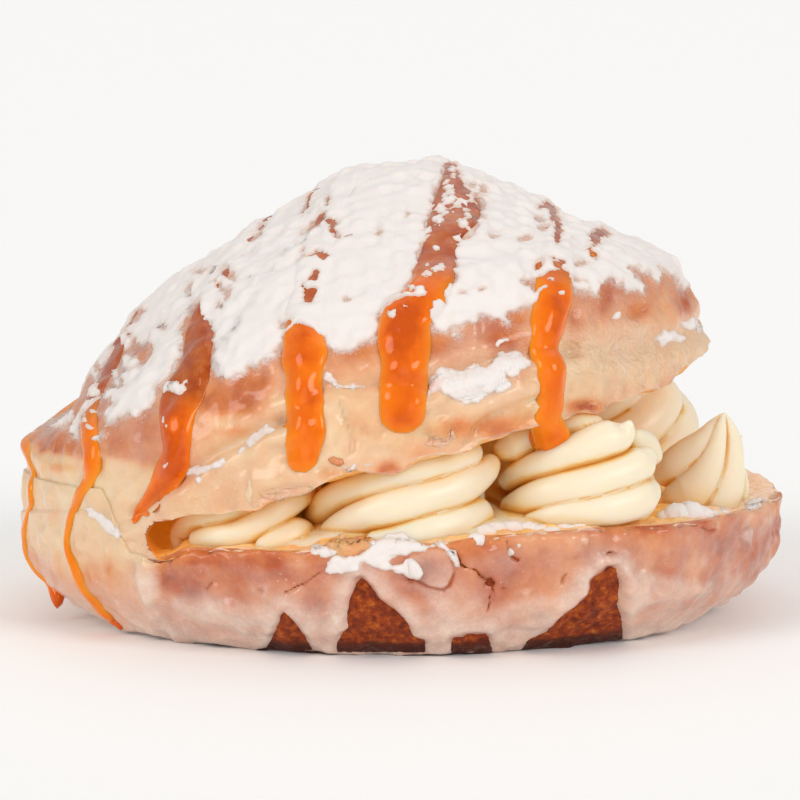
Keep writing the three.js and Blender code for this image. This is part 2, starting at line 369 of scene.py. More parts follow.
def joinParts(parts):
    points, faces, count = [], [], 0
    for partPoints, partFaces in parts:
        points.append(partPoints)
        faces += [tuple(int(i) + count for i in face) for face in partFaces]
        count += len(partPoints)
    return np.concatenate(points), faces


def setAttributes(piece, values):
    for name, numbers in values.items():
        attribute = piece.data.attributes.new(name, "FLOAT", "POINT")
        attribute.data.foreach_set("value", np.clip(numbers, 0, 1).astype(np.float32).ravel())


# A piece's places in millimetres and its normals.
def cornersOf(piece):
    places, normals = np.empty((2, len(piece.data.vertices) * 3))
    piece.data.vertices.foreach_get("co", places)
    piece.data.vertices.foreach_get("normal", normals)
    return places.reshape(-1, 3) / millimetre, normals.reshape(-1, 3)


def useBoolean(piece, other, operation):
    step = piece.modifiers.new("join", "BOOLEAN")
    step.operation = operation
    step.solver = "MANIFOLD"
    step.object = other
    step.material_mode = "TRANSFER"
    ready = bpy.context.evaluated_depsgraph_get()
    result = bpy.data.meshes.new_from_object(piece.evaluated_get(ready), depsgraph=ready)
    piece.modifiers.remove(step)
    old = piece.data
    piece.data = result
    bpy.data.meshes.remove(old)
    bpy.data.objects.remove(other)


def surfaceOf(piece):
    return BVHTree.FromObject(piece, bpy.context.evaluated_depsgraph_get())


# The first surface met on the way from a start: its place, its normal and how far it is.
def firstHit(surfaces, start, direction, reach):
    start, direction = Vector(start) * millimetre, Vector(direction)
    best = None
    for surface in surfaces:
        place, normal, _, away = surface.ray_cast(start, direction, reach * millimetre)
        if place is not None and (best is None or away < best[2]):
            best = (np.array(place) / millimetre, np.array(normal), away)
    return best


def placeOn(piece):
    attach(piece, "root")
    print("stage:", piece.name, len(piece.data.polygons), "faces")


def colour(code):
    parts = [int(code[i : i + 2], 16) / 255 for i in (1, 3, 5)]
    return [c / 12.92 if c <= 0.04045 else ((c + 0.055) / 1.055) ** 2.4 for c in parts] + [1]


# A setting named like a property of the node sets it and "stops" fills a ramp. Any other goes to
# the input of that name or number: a value, a colour code or another node's output.
def setNode(tree, node, settings):
    for key, value in settings.items():
        if key == "stops":
            elements = node.color_ramp.elements
            while len(elements) < len(value):
                elements.new(1)
            for element, (place, code) in zip(elements, value):
                element.position = place
                element.color = colour(code)
        elif isinstance(key, str) and hasattr(node, key):
            setattr(node, key, value)
        elif isinstance(value, bpy.types.NodeSocket):
            tree.links.new(value, node.inputs[key])
        else:
            node.inputs[key].default_value = colour(value) if isinstance(value, str) else value


def addNode(tree, kind, settings, output=0):
    node = tree.nodes.new("ShaderNode" + kind)
    setNode(tree, node, settings)
    return node.outputs[output]


# A material with its noises, each given as size in mm, detail and roughness, and the attributes
# that its piece carries. All are ready to use by name.
def newMaterial(name, settings, noises, attributes):
    material = bpy.data.materials.new(name)
    material.use_nodes = True
    tree = material.node_tree
    shader = tree.nodes["Principled BSDF"]
    setNode(tree, shader, settings)
    made = {"place": addNode(tree, "TexCoord", {}, "Object")}
    for key, (size, detail, rough) in noises.items():
        scale = 1 / (size * millimetre)
        inputs = {"Vector": made["place"], "Scale": scale, "Detail": detail, "Roughness": rough}
        made[key] = addNode(tree, "TexNoise", inputs, "Fac")
    for key in attributes:
        made[key] = addNode(tree, "Attribute", {"attribute_name": key}, "Fac")
    return material, tree, shader, made


# Gives the shader its finished surface, with relief laid on in layers of height and depth in mm.
def finishMaterial(tree, shader, surface, relief):
    normal = None
    for height, depth in relief:
        layer = {"Strength": 1, "Height": height, "Distance": depth * millimetre}
        if normal:
            layer["Normal"] = normal
        normal = addNode(tree, "Bump", layer)
    setNode(tree, shader, {**surface, "Normal": normal})


# Loose sugar grains over a surface, as thick as the attribute says.
def dustOver(tree, made, surface):
    grain = {"operation": "MULTIPLY_ADD", 0: made["clumps"], 1: 0.8, 2: made["grains"]}
    grain = addNode(tree, "Math", grain)
    shift = {"Value": grain, "From Min": 0.65, "From Max": 1.15, "To Min": -0.28, "To Max": 0.28}
    shift = addNode(tree, "MapRange", shift)
    spread = addNode(tree, "Math", {"operation": "ADD", 0: made["dust"], 1: shift})
    mask = addNode(tree, "MapRange", {"Value": spread, "From Min": 0.3, "From Max": 0.85})
    near = addNode(tree, "MapRange", {"Value": made["dust"], "From Min": 0.03, "From Max": 0.2})
    mask = addNode(tree, "Math", {"operation": "MULTIPLY", 0: mask, 1: near})
    return addNode(tree, "Mix", {"data_type": "RGBA", 0: mask, 6: surface, 7: "#e4dad4"}, 2), mask


# Fried dough under a thin set glaze: pale where it split, brown on top, nearly black below, and
# pinkish grey where the milky glaze lies thick over the brown.
crustLook = {
    "baked": [
        (0.0, "#edd0a0"), (0.2, "#e7b57e"), (0.4, "#dc8848"), (0.6, "#b8521c"), (0.78, "#78290b"),
        (0.92, "#3a1a10"), (1.0, "#1c1210"),
    ],
    "toasted": [
        (0.3, "#5e1a04"), (0.5, "#933806"), (0.64, "#b85810"), (0.76, "#d89448"), (0.86, "#ecd9c0"),
    ],
    "charred": [(0.42, "#1a0f0c"), (0.54, "#3b241b"), (0.58, "#8d7b70"), (0.75, "#b3a498")],
    "darkest": "#4a180a",
    "milky": "#e6d0c0",
    # Pale flecks: partly sugar crystals, partly painted glints of the wet glaze.
    "fleckAndGlint": "#f0dccb",
    "shader": {
        "IOR": 1.45,
        "Subsurface Weight": 0.3,
        "Subsurface Radius": (1.0, 0.42, 0.18),
        "Subsurface Scale": 1.8 * millimetre,
        "Coat Roughness": 0.11,
    },
    "noises": {
        "mottle": (7, 4, 0.6),
        "pores": (1.5, 4, 0.65),
        "char": (1.9, 4, 0.7),
        "cloud": (4.5, 4, 0.6),
        "speckle": (0.6, 3, 0.6),
        "flecks": (0.7, 3, 0.6),
        "ripples": (3.0, 2, 0.5),
        "clumps": (1.6, 3, 0.6),
        "grains": (0.3, 3, 0.7),
    },
}


def makeCrust():
    look = crustLook
    material, tree, shader, made = newMaterial(
        "glazedDough", look["shader"], look["noises"], ["bake", "bare", "film", "dust", "wet"]
    )
    bake, bare = made["bake"], made["bare"]
    uneven = {"Value": made["mottle"], "From Min": 0.3, "From Max": 0.7, "To Min": -0.12, "To Max": 0.12}
    uneven = addNode(tree, "MapRange", uneven)
    baked = addNode(tree, "Math", {"operation": "ADD", 0: bake, 1: uneven})
    crust = addNode(tree, "ValToRGB", {"Fac": baked, "stops": look["baked"]})
    # Bare crust at the foot is toasted, then charred where it met the pan.
    toasted = addNode(tree, "ValToRGB", {"Fac": made["pores"], "stops": look["toasted"]})
    charred = addNode(tree, "ValToRGB", {"Fac": made["char"], "stops": look["charred"]})
    burnt = addNode(tree, "MapRange", {"Value": bake, "From Min": 0.84, "From Max": 0.96})
    bareColour = addNode(tree, "Mix", {"data_type": "RGBA", 0: burnt, 6: toasted, 7: charred}, 2)
    dark = addNode(tree, "MapRange", {"Value": bake, "From Min": 0.66, "From Max": 0.82, "To Max": 0.75})
    bareColour = addNode(tree, "Mix", {"data_type": "RGBA", 0: dark, 6: bareColour, 7: look["darkest"]}, 2)
    crust = addNode(tree, "Mix", {"data_type": "RGBA", 0: bare, 6: crust, 7: bareColour}, 2)
    # The milky film is cloudy and finely speckled.
    film = made["film"]
    for key, low, high, least in (("cloud", 0.32, 0.66, 0.7), ("speckle", 0.3, 0.7, 0.86)):
        share = {"Value": made[key], "From Min": low, "From Max": high, "To Min": least, "To Max": 1.12}
        share = addNode(tree, "MapRange", share)
        film = addNode(tree, "Math", {"operation": "MULTIPLY", 0: film, 1: share})
    surface = addNode(tree, "Mix", {"data_type": "RGBA", 0: film, 6: crust, 7: look["milky"]}, 2)
    # Small pale flecks over the glaze: partly sugar crystals, partly painted glints of wet glaze.
    flecks = addNode(
        tree, "MapRange", {"Value": made["flecks"], "From Min": 0.66, "From Max": 0.74, "To Max": 0.4}
    )
    glazed = addNode(tree, "Math", {"operation": "SUBTRACT", 0: 1.0, 1: bare})
    flecks = addNode(tree, "Math", {"operation": "MULTIPLY", 0: flecks, 1: glazed})
    surface = addNode(tree, "Mix", {"data_type": "RGBA", 0: flecks, 6: surface, 7: look["fleckAndGlint"]}, 2)
    surface, dusted = dustOver(tree, made, surface)
    coat = addNode(tree, "MapRange", {"Value": bare, "To Min": 0.5, "To Max": 0.04})
    gloss = addNode(tree, "MapRange", {"Value": film, "From Max": 0.8, "To Min": 0.46, "To Max": 0.3})
    matte = addNode(tree, "Math", {"operation": "ADD", 0: dusted, 1: bare})
    gloss = addNode(tree, "Math", {"operation": "MULTIPLY_ADD", 0: matte, 1: 0.45, 2: gloss})
    crystals = addNode(tree, "Math", {"operation": "MULTIPLY", 0: made["clumps"], 1: made["wet"]})
    cells = {"Vector": made["place"], "Scale": 1 / (1.5 * millimetre)}
    holes = addNode(tree, "TexVoronoi", cells, "Distance")
    holes = addNode(tree, "Math", {"operation": "ADD", 0: holes, 1: made["pores"]})
    holes = addNode(tree, "Math", {"operation": "MULTIPLY", 0: holes, 1: bare})
    inputs = {"Base Color": surface, "Coat Weight": coat, "Roughness": gloss}
    relief = [(made["ripples"], 0.22), (crystals, 0.9), (holes, 0.6)]
    finishMaterial(tree, shader, inputs, relief + [(made["flecks"], 0.02), (dusted, 0.08)])
    return material


# The torn inside of the dough: soft, yellow and full of holes, with an orange rind. It carries a faint
# painted glow, and a painted orange glow near the hinge, for light shining through the thin dough.
crumbLook = {
    "crumb": [(0.3, "#e59c40"), (0.5, "#f0b863"), (0.7, "#f6d08a")],
    # Colour for the real orange rind at the torn edge and for the painted glow near the hinge.
    "rindAndGlow": "#e08620",
    "frosted": "#eed8ca",
    "holes": 1.6,
    "shader": {
        "Roughness": 0.7,
        # Painted glow: a faint emission for light shining through the thin dough.
        "Emission Color": "#d98a20",
        "Emission Strength": 0.2,
        "Subsurface Weight": 0.5,
        "Subsurface Radius": (1.0, 0.5, 0.18),
        "Subsurface Scale": 3.0 * millimetre,
    },
}


def makeCrumb():
    look = crumbLook
    material, tree, shader, made = newMaterial(
        "openCrumb", look["shader"], {"tone": (4, 4, 0.6)}, ["bake", "film"]
    )
    cells = {"Vector": made["place"], "Scale": 1 / (look["holes"] * millimetre)}
    holes = addNode(tree, "TexVoronoi", cells, "Distance")
    surface = addNode(tree, "ValToRGB", {"Fac": made["tone"], "stops": look["crumb"]})
    # Where bake is high the crumb takes the rind colour: real rind at the torn edge, painted glow near the
    # hinge.
    for key, over in (("bake", look["rindAndGlow"]), ("film", look["frosted"])):
        surface = addNode(tree, "Mix", {"data_type": "RGBA", 0: made[key], 6: surface, 7: over}, 2)
    finishMaterial(tree, shader, {"Base Color": surface}, [(holes, 0.6), (made["tone"], 0.5)])
    return material


# Runny caramel: wet and clear enough that its thin edges glow yellow.
caramelLook = {
    "syrup": [(0.0, "#f29a26"), (0.25, "#f4880c"), (0.55, "#f07806"), (0.8, "#e66600"), (1.0, "#cc5000")],
    "film": [(0.3, "#9a3405"), (0.5, "#b04f12"), (0.72, "#c06e36")],
    "shader": {
        "Roughness": 0.16,
        "IOR": 1.45,
        "Specular Tint": "#ff8c28",
        "Subsurface Weight": 0.2,
        "Subsurface Radius": (1.0, 0.3, 0.04),
        "Subsurface Scale": 1.6 * millimetre,
        "Coat Weight": 0.5,
        "Coat Roughness": 0.05,
    },
    "noises": {
        "streak": (4, 3, 0.5),
        "veil": (3.2, 4, 0.6),
        "swell": (4.0, 2, 0.5),
        "bubbles": (0.8, 2, 0.5),
        "clumps": (1.6, 3, 0.6),
        "grains": (0.3, 3, 0.7),
    },
}


def makeCaramel():
    look = caramelLook
    material, tree, shader, made = newMaterial(
        "caramel", look["shader"], look["noises"], ["depth", "thin", "dust"]
    )
    uneven = {"Value": made["streak"], "From Min": 0.3, "From Max": 0.7, "To Min": -0.16, "To Max": 0.16}
    uneven = addNode(tree, "MapRange", uneven)
    tone = addNode(tree, "Math", {"operation": "ADD", 0: made["depth"], 1: uneven})
    surface = addNode(tree, "ValToRGB", {"Fac": tone, "stops": look["syrup"]})
    film = addNode(tree, "ValToRGB", {"Fac": made["veil"], "stops": look["film"]})
    surface = addNode(tree, "Mix", {"data_type": "RGBA", 0: made["thin"], 6: surface, 7: film}, 2)
    surface, dusted = dustOver(tree, made, surface)
    relief = [(made["swell"], 0.5), (made["bubbles"], 0.02), (dusted, 0.1)]
    finishMaterial(tree, shader, {"Base Color": surface}, relief)
    return material


# Powdered sugar: quite matte, with the soft crumble of packed fine grains. Real grains are too
# fine to show, so they are drawn as coarse as 0.4 mm.
sugarLook = {
    "cover": [(0.0, "#e0ccc0"), (0.3, "#e8ded8"), (1.0, "#ebe3de")],
    "pit": "#cfae9c",
    "shader": {
        "Roughness": 0.92,
        "Specular IOR Level": 0.2,
        "Subsurface Weight": 0.12,
        "Subsurface Scale": 0.6 * millimetre,
    },
    "noises": {"pits": (2.4, 4, 0.72), "grains": (0.4, 3, 0.75), "clumps": (1.8, 3, 0.6)},
}


def makeSugar():
    look = sugarLook
    material, tree, shader, made = newMaterial("powderedSugar", look["shader"], look["noises"], ["cover"])
    surface = addNode(tree, "ValToRGB", {"Fac": made["cover"], "stops": look["cover"]})
    pits = addNode(tree, "MapRange", {"Value": made["pits"], "From Min": 0.27, "From Max": 0.22})
    surface = addNode(tree, "Mix", {"data_type": "RGBA", 0: pits, 6: surface, 7: look["pit"]}, 2)
    relief = [(made["pits"], 0.06), (made["clumps"], 0.03), (made["grains"], 0.05)]
    finishMaterial(tree, shader, {"Base Color": surface}, relief)
    return material


# Piped buttercream: smooth, dense and faintly waxy, with painted shade and yellow glow in its creases and
# pits.
creamLook = {
    # From the open cream to the painted shade and yellow glow of deep creases.
    "cream": [(0.1, "#efe2c8"), (0.36, "#eed8ae"), (0.6, "#eabd70"), (1.0, "#e0962a")],
    # Painted shade in the small pits.
    "pitShade": "#ecc074",
    "shader": {
        "Roughness": 0.4,
        "Subsurface Weight": 0.65,
        "Subsurface Radius": (1.0, 0.72, 0.32),
        "Subsurface Scale": 3.2 * millimetre,
        "Coat Weight": 0.15,
        "Coat Roughness": 0.22,
    },
    "noises": {
        "tint": (9, 2, 0.5),
        "pockets": (1.6, 2, 0.5),
        "waves": (3.0, 2, 0.5),
        "fine": (0.8, 3, 0.6),
    },
}


def makeCream():
    look = creamLook
    material, tree, shader, made = newMaterial("pipedCream", look["shader"], look["noises"], ["crease"])
    uneven = {"Value": made["tint"], "From Min": 0.3, "From Max": 0.7, "To Min": -0.08, "To Max": 0.1}
    uneven = addNode(tree, "MapRange", uneven)
    # The colour deepens with enclosure: painted shade and glow in the creases.
    tone = addNode(tree, "Math", {"operation": "ADD", 0: made["crease"], 1: uneven})
    surface = addNode(tree, "ValToRGB", {"Fac": tone, "stops": look["cream"]})
    # Small pits are dented and also painted the deeper shade colour.
    pitShade = addNode(tree, "MapRange", {"Value": made["pockets"], "From Min": 0.24, "From Max": 0.2})
    surface = addNode(tree, "Mix", {"data_type": "RGBA", 0: pitShade, 6: surface, 7: look["pitShade"]}, 2)
    relief = [(made["waves"], 0.12), (made["fine"], 0.03), (pitShade, -0.12)]
    finishMaterial(tree, shader, {"Base Color": surface}, relief)
    return material


crustMaterial = makeCrust()
crumbMaterial = makeCrumb()
caramelMaterial = makeCaramel()
sugarMaterial = makeSugar()
creamMaterial = makeCream()
print("stage: materials")


# Distant soft lights: where each comes from in degrees round from the front and up, how wide its
# disc looks in degrees and its strength.
studioLights = {
    "left": {"around": -50, "up": 32, "wide": 30, "strength": 0.86},
    "right": {"around": 46, "up": 28, "wide": 26, "strength": 0.9},
    "front": {"around": 4, "up": 9, "wide": 40, "strength": 0.32},
    "top": {"around": 170, "up": 68, "wide": 60, "strength": 0.4},
}
ambient = 0.53


def makeCamera():
    data = bpy.data.cameras.new("camera")
    data.sensor_width = 36
    data.lens = 36 * view["distance"] / view["widthSeen"]
    data.clip_start = 0.01
    data.clip_end = 60
    camera = bpy.data.objects.new("camera", data)
    bpy.context.scene.collection.objects.link(camera)
    camera.location = Vector(eye) * millimetre
    camera.rotation_euler = (math.pi / 2 - tilt, 0, 0)
    bpy.context.scene.camera = camera


def makeLights():
    for name, lamp in studioLights.items():
        data = bpy.data.lights.new(name, "SUN")
        data.angle = math.radians(lamp["wide"])
        data.energy = lamp["strength"]
        light = bpy.data.objects.new(name, data)
        around, up = math.radians(lamp["around"] - 90), math.radians(lamp["up"])
        out = math.cos(up)
        light.location = Vector((math.cos(around) * out, math.sin(around) * out, math.sin(up)))
        light.rotation_euler = light.location.to_track_quat("Z", "Y").to_euler()
        bpy.context.scene.collection.objects.link(light)
    world = bpy.data.worlds.new("studio")
    world.use_nodes = True
    tree = world.node_tree
    tree.nodes.clear()
    around = addNode(tree, "Background", {"Color": "#ffffff", "Strength": ambient})
    tree.links.new(around, tree.nodes.new("ShaderNodeOutputWorld").inputs["Surface"])
    bpy.context.scene.world = world
    bpy.context.scene.view_settings.view_transform = "Standard"


def makeFloor():
    look = {
        "Base Color": "#fbfaf8",
        "Roughness": 0.7,
        "Emission Color": "#ffffff",
        "Emission Strength": 0.06,
    }
    material = newMaterial("paleTable", look, {}, [])[0]
    reach = 25
    mesh = bpy.data.meshes.new("floor")
    corners = [(-reach, -reach, 0), (reach, -reach, 0), (reach, reach, 0), (-reach, reach, 0)]
    mesh.from_pydata(corners, [], [(0, 1, 2, 3)])
    floor = bpy.data.objects.new("floor", mesh)
    floor.data.materials.append(material)
    bpy.context.scene.collection.objects.link(floor)


makeCamera()
makeLights()
makeFloor()
print("stage: camera and light")


doughShape = {
    "columns": 520,
    "frontShare": 0.62,
    "hingeX": -40.2,
    "splitEnd": 72,
    "rimRoll": 0.6,
    "lidRoll": 0.3,
    # The two edges of the split along x: height of the lid's torn edge and of the lower half's rim.
    "lidEdge": (
        [-41.5, -38, -34, -31, -23, -17, -12.4, -8.5, -0.8, 3.1, 7.8, 10.9, 12.8, 16.4, 22, 28.5, 31.8,
          34.3, 38.5, 43, 46, 53, 74],
        [20.2, 20.9, 22.2, 22.6, 23.8, 26.1, 27.7, 29.2, 29.6, 31.6, 32.8, 33.3, 34.4, 34.9, 35.9, 37.9,
          38.0, 38.9, 39.9, 40.5, 41.2, 43.4, 43.8],
    ),
    "baseRim": (
        [-41.5, -38, -36, -34, -22, -15, -12, -9, 0, 6, 12, 22, 31, 41, 53, 74],
        [15.8, 15.4, 16, 17.4, 17.9, 18, 18.9, 19.6, 19.8, 19.2, 20.4, 20.6, 20.8, 20.2, 20.2, 20.4],
    ),
}


def lidHeight(x):
    return np.interp(x, *doughShape["lidEdge"])


def rimHeight(x):
    return np.interp(x, *doughShape["baseRim"])


# How far in from the outer skin each place lies, on the lower half's rim and on the lid's edge.
def inFromRim(x, y):
    return (1 - np.hypot(x / 64.8, y / 62.2)) * 62, (1 - np.hypot((x + 5.6) / 58.9, y / 60.5)) * 59


sugarShape = {
    "thick": 0.46,
    "under": 1.5,
    # Lower edge behind, by direction round the lid in degrees: height in mm.
    "edgeBehind": [
        (-180, 33), (-90, 50), (-20, 56), (-6, 52), (8, 50), (30, 53), (55, 50), (75, 47), (90, 51),
        (112, 46), (128, 42), (150, 36), (165, 32), (180, 33),
    ],
    # Lower edge as the photograph shows it, closed above the roll.
    "outline": [
        (100, 250), (147, 300), (143, 312), (137, 321), (130, 325), (128, 331), (132, 335), (137, 335),
        (138, 343), (143, 345), (150, 342), (155, 345), (154, 352), (151, 358), (146, 363), (139, 368),
        (131, 371), (122, 371), (120, 376), (124, 382), (122, 388), (112, 388), (105, 393), (103, 398),
        (111, 399), (114, 405), (108, 410), (106, 415), (109, 424), (114, 424), (118, 418), (128, 416),
        (137, 416), (140, 411), (150, 407), (154, 401), (155, 389), (160, 385), (165, 382), (170, 377),
        (173, 370), (176, 365), (177, 361), (184, 353), (181, 350), (182, 343), (181, 335), (182, 327),
        (187, 319), (190, 313), (193, 303), (199, 300), (203, 302), (203, 313), (202, 318), (208, 322),
        (213, 323), (213, 330), (215, 340), (216, 349), (214, 357), (213, 366), (215, 373), (219, 377),
        (226, 379), (233, 377), (241, 375), (246, 371), (247, 367), (254, 366), (259, 362), (265, 360),
        (271, 358), (277, 355), (280, 348), (284, 344), (284, 338), (288, 336), (293, 333), (300, 332),
        (308, 331), (316, 333), (322, 337), (326, 343), (332, 347), (337, 351), (344, 351), (350, 351),
        (356, 347), (362, 345), (370, 342), (376, 338), (377, 330), (378, 324), (376, 317), (381, 313),
        (390, 308), (399, 303), (405, 293), (410, 283), (414, 275), (418, 264), (417, 254), (422, 249),
        (420, 245), (425, 240), (429, 236), (423, 232), (426, 223), (430, 214), (433, 205), (433, 196),
        (437, 188), (442, 181), (442, 172), (445, 166), (450, 165), (455, 168), (460, 178), (463, 187),
        (468, 191), (476, 193), (482, 196), (484, 203), (482, 212), (483, 219), (478, 219), (477, 226),
        (474, 234), (468, 238), (461, 241), (457, 246), (456, 255), (457, 265), (455, 278), (450, 287),
        (446, 295), (445, 303), (438, 303), (432, 306), (430, 318), (431, 329), (437, 331), (445, 332),
        (450, 328), (458, 329), (465, 326), (470, 322), (478, 320), (481, 315), (490, 316), (497, 318),
        (503, 320), (508, 325), (510, 322), (505, 316), (507, 311), (515, 311), (522, 309), (530, 306),
        (535, 301), (536, 296), (531, 290), (526, 286), (522, 281), (527, 279), (535, 280), (542, 279),
        (548, 277), (553, 274), (560, 272), (567, 275), (570, 280), (573, 286), (578, 291), (585, 292),
        (590, 291), (596, 296), (599, 290), (601, 284), (606, 280), (609, 276), (613, 280), (618, 286),
        (622, 283), (625, 290), (632, 290), (638, 291), (643, 294), (643, 286), (638, 280), (632, 273),
        (629, 267), (636, 268), (640, 271), (648, 274), (655, 280), (658, 282), (660, 277), (658, 268),
        (663, 270), (668, 273), (674, 276), (678, 282), (684, 290), (687, 284), (695, 288), (770, 280),
        (770, 40), (100, 40),
    ],
    # Bare windows in the sugar, then small islands of it.
    "windows": [
        [(302, 234), (308, 229), (311, 222), (318, 220), (322, 215), (326, 215), (326, 220), (338, 223),
          (336, 230), (339, 237), (333, 234), (329, 229), (327, 224), (321, 224), (320, 230), (312, 231)],
        [(298, 262), (302, 256), (305, 256), (312, 257), (320, 254), (325, 257), (329, 257), (323, 261),
          (317, 259), (308, 260)],
        [(303, 287), (307, 288), (309, 291), (313, 290), (317, 291), (318, 298), (316, 304), (312, 309),
          (309, 306), (307, 299), (303, 292)],
        [(309, 283), (313, 279), (316, 273), (318, 275), (317, 284)],
        [(227, 268), (230, 272), (234, 273), (235, 281), (229, 279), (225, 276), (221, 275)],
        [(217, 283), (221, 284), (224, 288), (228, 289), (232, 287), (231, 294), (227, 299), (224, 294)],
        [(254, 238), (259, 233), (262, 223), (263, 213), (268, 206), (271, 208), (267, 214), (269, 219),
          (264, 227), (262, 236)],
        [(187, 297), (187, 290), (190, 284), (193, 283), (191, 290), (190, 297)],
        [(303, 216), (306, 206), (308, 198), (312, 190), (316, 188), (315, 194), (311, 203), (307, 213)],
        [(536, 211), (540, 207), (548, 205), (553, 208), (557, 214), (560, 224), (561, 234), (559, 243),
          (556, 248), (553, 241), (554, 231), (551, 222), (547, 213), (542, 210)],
        [(588, 237), (594, 232), (601, 228), (605, 227), (611, 235), (606, 238), (600, 240), (599, 246),
          (593, 248), (590, 243)],
        [(587, 250), (590, 249), (591, 255), (596, 259), (590, 257)],
        [(536, 268), (537, 263), (542, 262), (541, 268), (538, 272)],
        [(549, 263), (556, 265), (565, 264), (560, 269), (556, 273), (552, 270)],
        [(568, 278), (576, 278), (584, 282), (577, 282)],
        spot(287, 326, 6, 5), spot(302, 251, 4, 2), spot(220, 306, 3, 2), spot(329, 203, 2, 4),
        spot(527, 240, 6, 2), spot(493, 237, 5, 2), spot(463, 293, 4, 1.5), spot(482, 290, 6, 2),
        spot(539, 220, 3, 2), spot(544, 229, 4, 1.5), spot(407, 217, 2.5, 1.5), spot(380, 234, 2, 2),
        spot(163, 327, 3, 2), spot(580, 264, 6, 2), spot(470, 187, 5, 1.5), spot(483, 190, 3, 3),
        spot(560, 300, 1, 1), spot(212, 272, 4, 2), spot(199, 273, 5, 1.5), spot(347, 300, 2, 2),
    ],
    "islands": [
        [(123, 358), (127, 355), (134, 356), (139, 360), (140, 364), (136, 368), (129, 371), (124, 367)],
        [(113, 372), (117, 369), (120, 374), (120, 382), (117, 387), (113, 384), (114, 378)],
        [(92, 370), (96, 368), (98, 375), (98, 380), (94, 380), (92, 375)],
        [(94, 383), (98, 382), (99, 389), (102, 396), (100, 400), (94, 400), (88, 397), (90, 391)],
        [(99, 400), (93, 401), (86, 407), (79, 414), (74, 420), (70, 428), (73, 437), (77, 439), (78, 430),
          (81, 423), (86, 417), (93, 409)],
        [(122, 337), (127, 334), (132, 338), (133, 344), (130, 349), (126, 350), (123, 344)],
        [(97, 365), (101, 358), (108, 351), (116, 346), (116, 351), (110, 359), (104, 366)],
        [(48, 424), (58, 418), (68, 413), (74, 411), (72, 420), (64, 427), (52, 428)],
        [(164, 389), (166, 385), (170, 383), (178, 384), (190, 383), (188, 392), (182, 398), (176, 396),
          (172, 396), (165, 394)],
        [(97, 441), (99, 435), (104, 432), (105, 435), (101, 440)],
        spot(96, 413, 2.5, 1.5), spot(88, 423, 3, 2), spot(93, 430, 2, 2), spot(170, 422, 3, 2.5),
        spot(173, 427, 2.5, 3), spot(170, 466, 1.8, 2), spot(87, 472, 1.4, 1.4), spot(86, 478, 1.4, 1.4),
        spot(452, 172, 3.5, 2.5), spot(452, 180, 4, 3.5), spot(447, 184, 4, 1.5), spot(449, 191, 4, 3),
        spot(451, 196, 3, 3.5), spot(472, 198, 5, 3), spot(470, 203, 3, 2), spot(448, 204, 8, 5),
        spot(443, 213, 6, 6), spot(438, 223, 7, 4), spot(459, 207, 6, 4), spot(466, 212, 3, 3),
        spot(476, 209, 2.5, 2.5), spot(461, 226, 6, 4), spot(470, 230, 3, 3), spot(453, 217, 2, 1.5),
        spot(468, 219, 2, 1.5), spot(428, 268, 3.5, 2.5), spot(440, 272, 4, 4), spot(434, 276, 3, 2),
        spot(428, 280, 5, 3.5), spot(434, 251, 2.5, 1.2), spot(411, 293, 3.5, 3), spot(408, 301, 4, 2),
        spot(421, 299, 7, 5), spot(393, 320, 3.5, 2.5), spot(388, 317, 2, 1), spot(407, 312, 2, 1),
        spot(459, 240, 4, 3), spot(428, 233, 4, 3), spot(547, 283, 3, 2), spot(541, 291, 2, 1.2),
        spot(558, 297, 2, 1.2), spot(455, 334, 2.5, 2.5),
    ],
}


# How far (mm) inside the sugared area each place lies, negative outside it.
def sugarReach(points, outward, reach=14):
    at = seenAt(points)
    drawn = insideOutline(at, sugarShape["outline"], reach)
    drawn = np.minimum(drawn, -insideAny(at, sugarShape["windows"]))
    drawn = np.maximum(drawn, insideAny(at, sugarShape["islands"], reach))
    edge = np.interp(degreesRound(points, -5), *zip(*sugarShape["edgeBehind"]))
    behind = points[..., 2] - edge
    behind = behind + 1.9 * noise(points, 6, 81) + 0.9 * noise(points, 2.6, 82)
    front = facing(points, outward)
    return drawn * front + np.clip(behind, -6, 6) * (1 - front), front


# The space between the halves, with the torn crumb's relief on its two faces.
def splitSpace():
    hinge = doughShape["hingeX"]
    fine, coarse = np.arange(hinge, hinge + 4, 0.25), np.arange(hinge + 4, doughShape["splitEnd"], 0.9)
    x = np.concatenate([fine, coarse])
    y = np.concatenate([np.arange(-70, -42, 0.6), np.arange(-42, 40, 2.6), np.arange(40, 71, 1.2)])
    gridX, gridY = np.meshgrid(x, y)
    flat = np.stack([gridX, gridY, 0 * gridX], -1)
    fromRim, fromLid = inFromRim(gridX, gridY)
    rough = 0.45 * fractal(flat, 6, 31, 4, 0.6) + 0.45 * fractal(flat, 2.4, 35, 2) * bell(fromRim, 2, 4)
    ragged = 0.5 * fractal(flat + 50, 5, 37, 3) + 0.3 * fractal(flat, 3.2, 39, 2) * bell(fromLid, 0, 3)
    low = rimHeight(gridX) - doughShape["rimRoll"] * bell(np.maximum(fromRim, 0), 0, 1.7) + rough
    farEnd = smoothStep(gridX, 38, 56)
    roll = (doughShape["lidRoll"] + 2.6 * farEnd) * bell(np.maximum(fromLid, 0), 0, 1.2 + 2 * farEnd)
    high = lidHeight(gridX) + roll + ragged
    rounding = np.sqrt(np.clip(1 - (1 - np.clip((gridX - hinge) / 3.4, 0, 1)) ** 2, 0.03, 1))
    middle = (low + high) / 2
    top = np.stack([gridX, gridY, middle + (high - middle) * rounding], -1)
    bottom = np.stack([gridX, gridY, middle - (middle - low) * rounding], -1)
    return closedShell(top, bottom, wraps=False)


